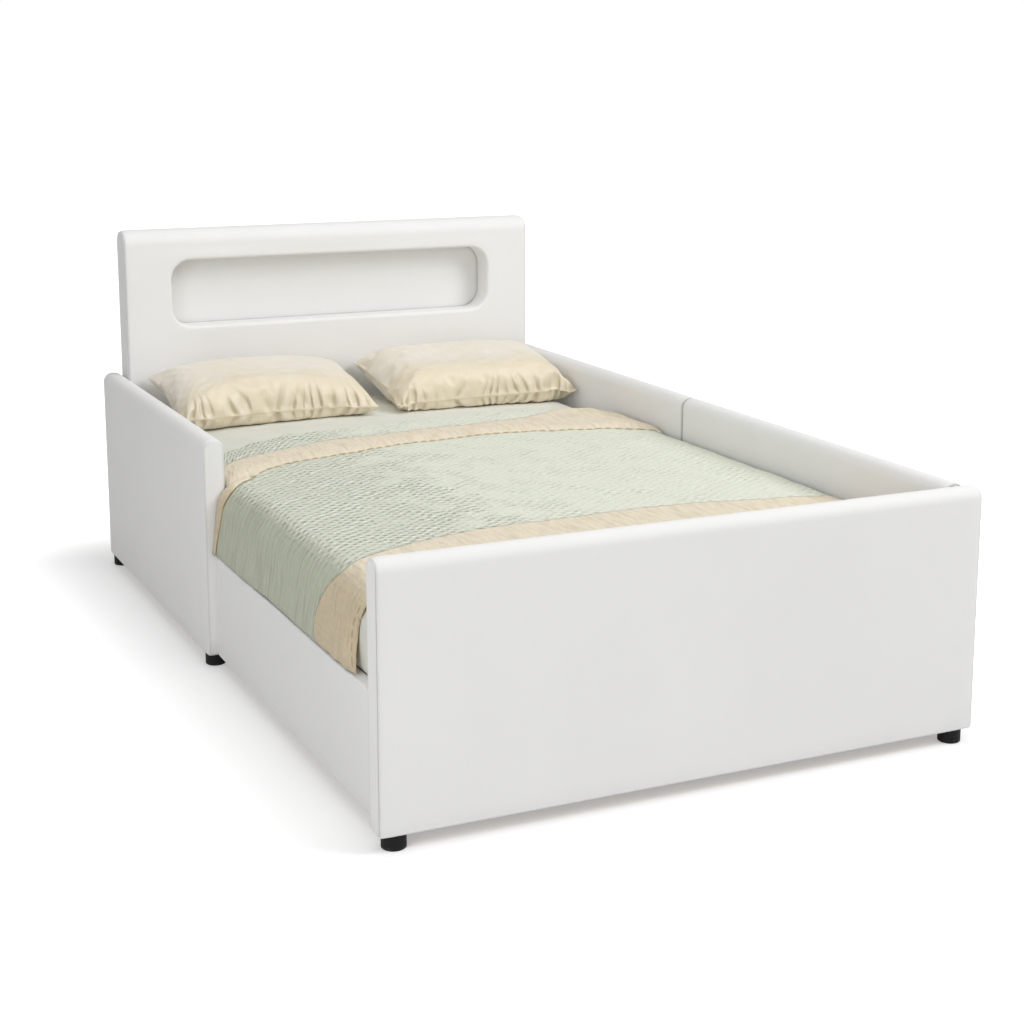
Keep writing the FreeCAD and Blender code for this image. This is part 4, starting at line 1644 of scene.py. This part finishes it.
    def fold(self, x: Array, share: Array) -> tuple[Array, Marks]:
        """Upper layer, from the half round at the crest back to the fold's hem.

        It stands clear of the lower layer by the layers' gap and its own loft, crimped near the crest, and
        comes down to the sewn hem, which is scalloped by its stitches.

        Args:
            x: the columns' places across the bed.
            share: the rows' shares of the way from the crest to the hem.

        Returns:
            Points and marks of the layer.
        """
        x = np.broadcast_to(x, (len(share), len(x)))
        inner = np.maximum(x, self.shoulder_x)
        crest, hem = curve_through(inner, self.crest), curve_through(inner, self.hem)
        slip = curve_through(x, self.crest) - crest
        y = crest - share[:, None] * (crest - hem) + slip * (1 - eased(share, 0.0, self.turn))[:, None]
        crest = crest + slip
        low = self.base(x) + self.loft(x, crest, 21)
        ease = eased(share, 0.0, self.fold_ease)[:, None]
        under = self.base(x) + self.loft(x, y, 21)
        sewn = np.exp(-((y - hem) / self.sewn_width) ** 2)
        crimp = (1 - eased(share, *self.crimp_fade))[:, None] * (1 + ripple(x, 0.4 * y, self.crimp_wave, 33))
        stand = self.layer_gap + ease * self.loft(x, y, 27) + self.crimp * crimp
        beat = x * 2 * math.pi / self.scallop_pitch + 2 * ripple(x, y, self.scallop_wave, 31)
        scallop = self.scallop * (1 + np.sin(beat))
        z = low + ease * (under - low) + stand + sewn * (self.hem_gap + scallop - stand)
        none = np.zeros_like(x)
        # the rim mark places the painted shadow line along the fold's hem
        marks = {"flat": np.stack([x, 2 * crest - y, none], axis=-1),
                 "green": y - curve_through(x, self.fold_line), "lofty": self.lofty(x), "hang": none,
                 "rim": np.exp(-((y - hem) / self.rim_width) ** 2)}
        return np.stack([x, y, z], axis=-1), marks

    def bend(self, lower: Array, upper: Array, marks: Marks) -> tuple[Array, Marks]:
        """Half round between the two layers at the crest.

        Args:
            lower: the last row of the spread.
            upper: the first row of the fold.
            marks: the fold's marks, whose first row is repeated.

        Returns:
            Points and marks of the half round.
        """
        turn = np.linspace(0, math.pi, self.bend_rows)[:, None]
        radius = (upper[:, 2] - lower[:, 2]) / 2
        y = lower[:, 1] + radius * np.sin(turn)
        z = lower[:, 2] + radius * (1 - np.cos(turn))
        points = np.stack([np.broadcast_to(lower[:, 0], y.shape), y, z], axis=-1)
        return points, {key: np.repeat(values[:1], len(turn), axis=0) for key, values in marks.items()}

    def hang(self, top: Array, run: Array) -> tuple[Array, Array]:
        """Section of the hanging side: an arc over the mattress's edge, then a straight fall to the hem.

        Args:
            top: height of the layer where the arc begins, one for each row.
            run: lengths down the side.

        Returns:
            x and z, rows by columns.
        """
        arc = self.shoulder_radius * self.shoulder_turn
        angle = np.clip(run / self.shoulder_radius, 0, self.shoulder_turn)
        fall = np.clip(run - arc, 0, None)
        x = self.shoulder_x - self.shoulder_radius * np.sin(angle) - fall * math.cos(self.shoulder_turn)
        z = top[:, None] - self.shoulder_radius * (1 - np.cos(angle)) - fall * math.sin(self.shoulder_turn)
        return np.broadcast_to(x, z.shape), z

    def side(self, edge: Array, share: Array, seed: int, strip: bool) -> tuple[Array, Marks]:
        """One layer of the hanging side.

        Args:
            edge: the points of the layer above where the side begins, one for each row.
            share: shares of the way along the side, one for each row.
            seed: which set of waves.
            strip: whether this is the narrow strip of the fold beside the guard.

        Returns:
            Points and marks of the layer.
        """
        turn = self.shoulder_turn
        drop = edge[:, 2].mean() - self.hem_z - self.shoulder_radius * (1 - math.cos(turn))
        total = self.shoulder_radius * turn + drop / math.sin(turn)
        run = np.linspace(0, total, self.side_columns)
        x, z = self.hang(edge[:, 2], run)
        down = np.broadcast_to(run, x.shape)
        far = curve_through(run, self.strip if strip else self.side_hem)
        y = self.guard_y + share[:, None] * (far - self.guard_y)
        y = np.where(down == 0, edge[:, 1][:, None], y)
        sway = self.sway * (ripple(y, 0 * y, self.sway_wave, seed) + 0.6)
        flutter = self.flutter * ripple(y, 0.3 * z, self.flutter_wave, seed + 1)
        x = x - eased(down, self.sway_start, total) * (sway + flutter)
        if strip:
            loose = eased(y - far, 0.0, self.strip_ease)
            stand = self.hem_gap + (self.layer_gap - self.hem_gap) * loose
            x = x - stand * eased(down, 0.0, self.strip_ease)
            green = np.full_like(y, self.strip_green)
            sewn = np.zeros_like(y)
        else:
            x = x - self.creases(y - far, z, down)
            green = y - curve_through(down, self.side_line)
            # painted shadow line a little inside the foot hem, carried by the rim mark
            sewn = np.exp(-((y - far - self.hem_shadow_inset) / self.hem_shadow_width) ** 2)
        flat = np.stack([self.shoulder_x - down, y, np.zeros_like(x)], axis=-1)
        lofty = np.full_like(y, self.lofty(self.shoulder_x))
        rim = sewn * eased(down, *self.hem_shadow_rise)
        hang = eased(down, 0.0, self.hang_reach)
        marks = {"flat": flat, "green": green, "lofty": lofty, "hang": hang, "rim": rim}
        return np.stack([x, y, z], axis=-1), marks

    def creases(self, inset: Array, z: Array, down: Array) -> Array:
        """How far the hanging side stands out near its foot hem.

        Slanting sine ridges that fade away from the hem, ridges round the shoulder that follow it, and a
        curl by which the hem itself turns in.

        Args:
            inset: distance from the foot hem.
            z: heights.
            down: lengths down the side.

        Returns:
            The outward stand of each point.
        """
        low = eased(down, *self.pleat_rise)
        shoulder = eased(down, *self.ridge_rise) * (1 - eased(down, *self.ridge_fall))
        lean = inset + self.pleat_slant * (z - self.pleat_level)
        beat = 2 * math.pi * lean / self.pleat_pitch + self.pleat_phase
        pleat = self.pleat * np.exp(-inset / self.pleat_fade) * np.sin(beat)
        beside = np.exp(-((inset - self.ridge_place) / self.ridge_width) ** 2)
        follow = 2 * math.pi * (inset - self.ridge_slant * z) / self.ridge_pitch
        ridge = self.ridge * beside * np.sin(follow)
        curl = self.curl * np.clip(1 - inset / self.curl_reach, 0.0, 1.0) ** 2
        return low * pleat + shoulder * ridge - eased(down, *self.curl_rise) * curl

    def build(self) -> Piece:
        """Make the quilt's cloth, weld its parts and give it its loft.

        Returns:
            The quilt.
        """
        shell = Shell("quilt_cotton_cover")
        columns = round((self.right_x - self.shoulder_x) / self.step)
        across = np.linspace(self.right_x, self.shoulder_x, columns)
        tuck = np.linspace(self.shoulder_x, self.tuck_x, self.tuck_columns)
        share, fold_share = self.shares()
        past = share >= self.split - NEAR
        short = fold_share <= self.turn + NEAR
        spread, marks = self.spread(across, share)
        fold, fold_marks = self.fold(across, fold_share)
        lower, lower_marks = self.spread(tuck, share[past])
        upper, upper_marks = self.fold(tuck, fold_share[short])
        for below, below_marks, above, above_marks in (
            (spread, marks, fold, fold_marks),
            (lower, lower_marks, upper, upper_marks),
        ):
            crook, crook_marks = self.bend(below[-1], above[0], above_marks)
            shell.add(below, **below_marks)
            shell.add(crook, **crook_marks)
            shell.add(above, **above_marks)

        before = np.flatnonzero(share <= self.split + NEAR)[::-1]
        after = np.flatnonzero(fold_share >= self.turn - NEAR)
        for edge, along, strip in (
            (spread[before, -1], 1 - share[before] / self.split, False),
            (fold[after, -1], (fold_share[after] - self.turn) / (1 - self.turn), True),
        ):
            side, side_marks = self.side(edge, along, 41, strip)
            shell.add(side, **side_marks)

        made = shell.piece(PALETTE.quilt, weld=self.weld)
        self.pad(made)
        declared(made, "quilt", "quilt")
        return made

    @staticmethod
    def hems(mesh: bpy.types.Mesh) -> tuple[Array, Array]:
        """Find the points on the cloth's open edges, and those that one edge joins to them.

        Args:
            mesh: the quilt's cloth.

        Returns:
            Two masks over the mesh's points.
        """
        ends = np.empty(2 * len(mesh.edges), dtype=np.int32)
        mesh.edges.foreach_get("vertices", ends)
        ends = ends.reshape(-1, 2)
        sides = np.empty(len(mesh.loops), dtype=np.int32)
        mesh.loops.foreach_get("edge_index", sides)
        rim = np.zeros(len(mesh.vertices), dtype=bool)
        rim[ends[np.bincount(sides, minlength=len(ends)) == 1]] = True
        near = np.zeros_like(rim)
        near[ends[rim[ends[:, ::-1]]]] = True
        return rim, near

    def pad(self, made: Piece) -> None:
        """Give the cloth its thickness, thinner where the hems are sewn down.

        Args:
            made: the quilt.
        """
        rim, near = self.hems(made.data)
        group = made.vertex_groups.new(name="loft")
        for chosen, share in ((~near & ~rim, 1.0), (near & ~rim, self.near_loft), (rim, self.rim_loft)):
            group.add(np.flatnonzero(chosen).tolist(), share, "REPLACE")
        wall = made.modifiers.new("loft", "SOLIDIFY")
        wall.thickness = self.thickness
        wall.offset = 0.0
        wall.vertex_group = "loft"
        wall.thickness_vertex_group = self.least_loft


@dataclass
class Pillow:
    """Filled pillow: two panels of cloth sewn at the rim, blown up by cloth simulation and then settled."""

    node: str
    form: MattressForm
    seed: int
    cut_width: float = 0.620
    cut_depth: float = 0.415
    cell: float = 0.0066
    rise: float = 0.012
    uneven: float = 0.0015
    uneven_wave: float = 0.09
    width: float = 0.560
    depth: float = 0.362
    thickness: float = 0.158
    slump: float = 0.16
    slump_reach: Span = (-0.1, 0.4)
    tilt: float = math.radians(11.0)
    forward: float = 0.010
    lift: float = 0.007
    rest: float = 0.0030
    sink: float = 0.006
    pleat: float = 0.034
    pleat_depth: float = 0.0120
    pleat_reach: float = 0.044
    pleat_drift: float = 0.009
    pleat_slant: float = 0.45
    pleat_start: float = 0.006
    pleat_steep: float = 0.3
    pleat_power: float = 2.2
    drift_wave: float = 0.12
    slant_wave: float = 0.17
    strength_wave: float = 0.08
    strength_range: Span = (-1.3, 0.6)
    lower_reach: float = 0.6
    lower_gather: float = 0.45
    gather_reach: float = 0.045
    gather_start: Span = (0.002, 0.014)
    frames: int = 22
    pressure: float = 4.5
    fill: float = 0.6

    def envelope(self) -> Piece:
        """Two flat panels joined at the rim, held a little apart in the middle and slightly uneven.

        Each panel rises by the root of a product of parabolas, and waves make it uneven.

        Returns:
            The flat envelope.
        """
        across = np.linspace(-1, 1, round(self.cut_width / self.cell))
        along = np.linspace(-1, 1, round(self.cut_depth / self.cell))
        u, v = np.meshgrid(across, along)
        rise = self.rise * ((1 - u ** 2) * (1 - v ** 2)) ** 0.5
        wave = ripple(u * self.cut_width, v * self.cut_depth, self.uneven_wave, self.seed)
        uneven = self.uneven * wave * (rise > 0)
        x, y = u * self.cut_width / 2, v * self.cut_depth / 2
        inset = y + self.cut_depth / 2
        near = np.exp(-(inset / self.gather_reach) ** 2) * eased(inset, *self.gather_start)
        seam = ((np.abs(u) == 1) | (np.abs(v) == 1)).astype(float)
        shell = Shell(self.node + "_case")
        for side, gather in ((1, near), (-1, self.lower_gather * near)):
            flat = np.stack([x, y, np.full_like(x, side)], axis=-1)
            pleat, crease = self.pleats(flat)
            points = np.stack([x, y, side * rise + uneven], axis=-1)
            shell.add(points, flat=flat, seam=seam, pleat=pleat, crease=crease, gather=gather)
        return shell.piece(PALETTE.pillow)

    def inflate(self, made: Piece) -> Array:
        """Run the cloth simulation on the envelope.

        Args:
            made: the flat envelope.

        Returns:
            The blown-up points.
        """
        scene = bpy.context.scene
        cloth = made.modifiers.new("inflate", "CLOTH")
        cloth.settings.use_pressure = True
        cloth.settings.uniform_pressure_force = self.pressure
        cloth.settings.effector_weights.gravity = 0.0
        cloth.settings.quality = 6
        cloth.settings.mass = 0.25
        cloth.settings.tension_stiffness = 18.0
        cloth.settings.compression_stiffness = 18.0
        cloth.settings.shear_stiffness = 6.0
        cloth.settings.bending_stiffness = 0.08
        cloth.settings.air_damping = 4.0
        cloth.point_cache.frame_start = 1
        cloth.point_cache.frame_end = self.frames
        for number in range(1, self.frames + 1):
            scene.frame_set(number)
        points = vectors(made.evaluated_get(bpy.context.evaluated_depsgraph_get()).data.vertices, "co")
        made.modifiers.remove(cloth)
        scene.frame_set(1)
        return points

    def settled(self, points: Array) -> Array:
        """Bring the pillow to its size, lean it to the headboard and let it rest on the mattress.

        Its filling slumps to the front, and where it would sink into the mattress, its height eases to
        the resting level by a soft maximum.

        Args:
            points: the blown-up points.

        Returns:
            The points in the bed's frame.
        """
        low, high = points.min(axis=0), points.max(axis=0)
        size = np.array([self.width, self.depth, self.thickness])
        points = (points - (low + high) / 2) * (size / (high - low))
        points[:, 2] *= 1 + self.slump * eased(-points[:, 1] / self.depth, *self.slump_reach)
        cosine, sine = math.cos(self.tilt), math.sin(self.tilt)
        points = points @ np.array([[1, 0, 0], [0, cosine, -sine], [0, sine, cosine]]).T
        low, high = (np.array(spot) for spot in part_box(self.node))
        points[:, 0] += (low[0] + high[0]) / 2
        points[:, 1] += high[1] - self.forward - points[:, 1].max()
        points[:, 2] += high[2] + self.lift - points[:, 2].max()
        rest = self.form.top(points[:, 0], self.rest)
        above = points[:, 2] - rest
        points[:, 2] = rest + self.sink * np.logaddexp(0, above / self.sink)
        return points

    def gathers(self, flat: Array) -> Array:
        """How far each point is drawn in by the pleats: lopsided creases, steep on one side.

        Args:
            flat: each point's place on the cut panel, and the panel's side.

        Returns:
            The depth at each point.
        """
        count, strength = self.pleats(flat)
        phase = count - np.floor(count)
        slope = np.clip((phase - self.pleat_steep) / (1 - self.pleat_steep), 0.0, 1.0)
        crease = np.maximum(1 - phase / self.pleat_steep, slope ** self.pleat_power)
        return self.pleat_depth * strength * crease

    def pleats(self, flat: Array) -> tuple[Array, Array]:
        """Row of short pleats along the front seam, unevenly spaced, slanted, and strong and weak in turn.

        They fade with the square of the distance from the seam, sooner on the lower panel.

        Args:
            flat: each point's place on the cut panel, and the panel's side.

        Returns:
            Each point's place along the row, counted in pleats, and the pleats' strength there.
        """
        along, inset = flat[..., 0], flat[..., 1] + self.cut_depth / 2
        still = np.zeros_like(along)
        slant = self.pleat_slant * ripple(along, still, self.slant_wave, self.seed + 9)
        drift = self.pleat_drift * ripple(along, still, self.drift_wave, self.seed + 5)
        place = along + drift + slant * inset
        strength = eased(ripple(along, still, self.strength_wave, self.seed + 7), *self.strength_range)
        panel = np.where(flat[..., 2] > 0, 1.0, self.lower_reach)
        reach = self.pleat_reach * (0.55 + 0.6 * strength) * panel
        fade = strength * np.exp(-(inset / reach) ** 2)
        return place / self.pleat, fade * eased(inset, 0.0, self.pleat_start)

    def build(self) -> Piece:
        """Make the pillow in place of its solid.

        Returns:
            The pillow.
        """
        made = self.envelope()
        mesh = made.data
        points = self.inflate(made)
        self.move(mesh, self.settled(points))
        drawn = self.gathers(vectors(mesh.attributes["flat"].data, "vector"))[:, None]
        self.move(mesh, vectors(mesh.vertices, "co") - drawn * vectors(mesh.vertex_normals, "vector"))
        smooth = made.modifiers.new("smooth", "SUBSURF")
        smooth.levels = smooth.render_levels = 1
        return declared(made, self.node, self.node)

    @staticmethod
    def move(mesh: bpy.types.Mesh, points: Array) -> None:
        """Put a mesh's points at new places."""
        mesh.vertices.foreach_set("co", points.astype(np.float32).ravel())
        mesh.update()


@dataclass
class Strap:
    """Webbing strap under the slats, which sags a little between them."""

    name: str
    middle_x: float
    width: float = 0.030
    thickness: float = 0.0014
    clear: float = 0.0009
    end: float = 0.05
    sag: float = 0.004
    rows: int = 190
    columns: int = 5

    def build(self) -> Piece:
        """Make the strap: a flat ribbon along Y whose height dips as a half sine in each gap.

        Returns:
            The strap.
        """
        (low, high), (following, _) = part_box(SLATS[0]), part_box(SLATS[1])
        start, end = low[1] + self.end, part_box(SLATS[-1])[1][1] - self.end
        y = np.linspace(start, end, self.rows)
        pitch = following[1] - low[1]
        half = (high[1] - low[1]) / 2
        phase = np.abs((y - start + pitch / 2) % pitch - pitch / 2)
        gap = np.clip((phase - half) / (pitch / 2 - half), 0, 1)
        z = low[2] - self.clear - self.sag * np.sin(gap * math.pi / 2) ** 2
        x = self.middle_x + np.linspace(-self.width / 2, self.width / 2, self.columns)
        points = np.stack(np.broadcast_arrays(x[None, :], y[:, None], z[:, None]), axis=-1)
        shell = Shell(self.name)
        shell.add(points, flat=points)
        made = shell.piece(PALETTE.webbing)
        wall = made.modifiers.new("thickness", "SOLIDIFY")
        wall.thickness = self.thickness
        wall.offset = 0.0
        declared(made, "bed_frame", "slat_straps")
        return made


# Frame and studio


@dataclass
class Joinery:
    """Timber, steel and plastic pieces that keep their solids and get their finishes."""

    finishes: tuple[tuple[Finish, tuple[str, ...]], ...] = (
        (PALETTE.slat, SLATS + ("footboard_frame", "headboard_frame")),
        (PALETTE.rail, ("head_beam", "foot_beam", "left_head_ledger", "right_head_ledger",
                        "left_foot_ledger", "right_foot_ledger", "left_head_guard_frame",
                        "right_head_guard_frame", "right_foot_guard_frame", "left_foot_rail_frame")),
        (PALETTE.post, ("foot_centre_leg", "middle_centre_leg", "head_centre_leg")),
        (PALETTE.board, ("headboard_back_panel",)),
        (PALETTE.plastic, ("front_feet", "middle_feet", "rear_feet")),
        (PALETTE.steel, ("front_left_bracket", "front_right_bracket", "rear_left_bracket",
                         "rear_right_bracket", "joining_plates", "beam_hangers", "beam_sleeve")),
        (PALETTE.bolt, ("frame_bolts",)),
    )

    def dress(self) -> None:
        """Put each finish into its nodes' material slots."""
        for finish, names in self.finishes:
            for name in names:
                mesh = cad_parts[name].data
                mesh.materials.clear()
                mesh.materials.append(finish.material())
                log.info("%s: %s", name, finish.name)


@dataclass(frozen=True)
class StudioFloor(Finish):
    """White floor that glows to the camera and to reflections, less so by the bed, where its shadow lies."""

    glow: float = 0.33
    fade: float = 0.55
    half_width: float = 0.665
    half_length: float = 1.0825
    cloud: float = 0.6
    cloud_tone: float = 0.985

    def paint(self, shader: Shader) -> None:
        """A pale ground with faint clouding; its glow is masked by the kind of ray that sees it.

        Args:
            shader: the material's tree.
        """
        place = shader.point()
        cloud = shader.noise(place, self.cloud)
        x, y, _ = shader.parts(place)
        beside = (abs(x) - self.half_width).math("MAXIMUM", 0.0)
        beyond = (abs(y) - self.half_length).math("MAXIMUM", 0.0)
        away = ((beside ** 2 + beyond ** 2) ** 0.5).smooth(0.0, self.fade)
        level = shader.seen() * (self.glow + (1 - self.glow) * away)
        shader.dress(
            Base_Color=shader.blend(cloud, self.colour, self.toned(self.cloud_tone)),
            Roughness=0.9,
            Emission_Color=shader.blend(level, (0.0, 0.0, 0.0), (1.0, 1.0, 1.0)),
            Emission_Strength=1.0,
            Specular_IOR_Level=0.1,
        )


@dataclass(frozen=True)
class Lamp:
    """Square soft light that looks at a point."""

    name: str
    place: Triple
    aim: Triple
    size: float
    power: float

    def build(self) -> None:
        """Make the lamp."""
        data = bpy.data.lights.new(self.name, "AREA")
        data.energy = self.power
        data.size = self.size
        made = bpy.data.objects.new(self.name, data)
        made.location = self.place
        made.rotation_euler = (Vector(self.aim) - Vector(self.place)).to_track_quat("-Z", "Y").to_euler()
        bpy.context.scene.collection.objects.link(made)


@dataclass
class Studio:
    """Plain white floor, even dome, soft lamps and the camera."""

    camera_place: Triple = (-1.7395, -3.9560, 1.4085)
    yaw: float = math.radians(24.952)
    pitch: float = math.radians(10.955)
    lens: float = 63.71
    shift_y: float = -0.0977
    dome: float = 0.355
    floor_size: float = 30.0
    floor_colour: Colour = (0.80, 0.80, 0.80)
    lamps: tuple[Lamp, ...] = (
        Lamp("key", (3.5, -3.0, 4.2), (0.0, 0.0, 0.5), 2.6, 168.0),
        Lamp("fill", (-3.2, -2.9, 1.8), (0.0, 0.0, 0.3), 2.2, 46.0),
        Lamp("top", (-0.2, -0.2, 3.8), (0.0, 0.0, 0.5), 2.4, 32.0),
    )

    def build(self) -> None:
        """Make the camera, light and floor."""
        self.make_camera()
        self.make_light()
        self.make_floor()

    def make_camera(self) -> None:
        """Camera at the photograph's viewing angle."""
        data = bpy.data.cameras.new("camera")
        data.lens = self.lens
        data.shift_y = self.shift_y
        made = bpy.data.objects.new("camera", data)
        made.location = self.camera_place
        made.rotation_euler = (math.pi / 2 - self.pitch, 0.0, -self.yaw)
        bpy.context.scene.collection.objects.link(made)
        bpy.context.scene.camera = made

    def make_light(self) -> None:
        """Even dome, white where the camera or a reflection sees it, and the lamps."""
        scene = bpy.context.scene
        scene.view_settings.view_transform = "Standard"
        world = bpy.data.worlds.new("studio")
        scene.world = world
        world.use_nodes = True
        sky = NodeTree(world.node_tree)
        ground = world.node_tree.nodes["Background"]
        sky.feed(ground.inputs["Color"], (1.0, 1.0, 1.0))
        sky.feed(ground.inputs["Strength"], self.dome + (1 - self.dome) * sky.seen())
        for lamp in self.lamps:
            lamp.build()

    def make_floor(self) -> None:
        """White floor that keeps the bed's shadow and meets the background without a line."""
        half = self.floor_size / 2
        shell = Shell("floor")
        x, y = np.meshgrid(np.linspace(-half, half, 3), np.linspace(-half, half, 3))
        shell.add(np.stack([x, y, np.zeros_like(x)], axis=-1))
        shell.piece(StudioFloor("floor_white", self.floor_colour), outward=False)


def main() -> None:
    """Build the bed's dressed pieces in order, then the studio."""
    logging.basicConfig(level=logging.INFO, format="%(name)s %(message)s")
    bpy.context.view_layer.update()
    Joinery().dress()
    # the right guards' covers meet in a dark line of painted shade, the shade of the gap between them
    joint = {"seam_shade": 0.95, "seam_width": 0.0045, "end_swell": 0.0}
    for panel in (
        PaddedPanel("left_head_guard_cover", Along.Y),
        PaddedPanel("right_head_guard_cover", Along.Y, **joint),
        PaddedPanel("right_foot_guard_cover", Along.Y, **joint),
        PaddedPanel("footboard_cover", Along.X),
        PaddedPanel("left_foot_rail_cover", Along.Y, crown_flat=0.022, padding=0.005, lower_radius=0.003,
                    seam_draw=0.0012, seam_reach=0.008, groove_depth=0.0006, end_swell=0.0,
                    face_swell=0.0004),
        Headboard("headboard_cover", Along.X),
    ):
        panel.build()
    niche = Niche()
    niche.build_liner()
    niche.build_back()
    form = MattressForm()
    Mattress(form).build()
    FittedSheet(form).build()
    Quilt(form).build()
    Pillow("left_pillow", form, seed=3).build()
    Pillow("right_pillow", form, seed=14).build()
    Strap("left_slat_strap", middle_x=-0.320).build()
    Strap("right_slat_strap", middle_x=0.320).build()
    Studio().build()


if __name__ == "__main__":
    main()
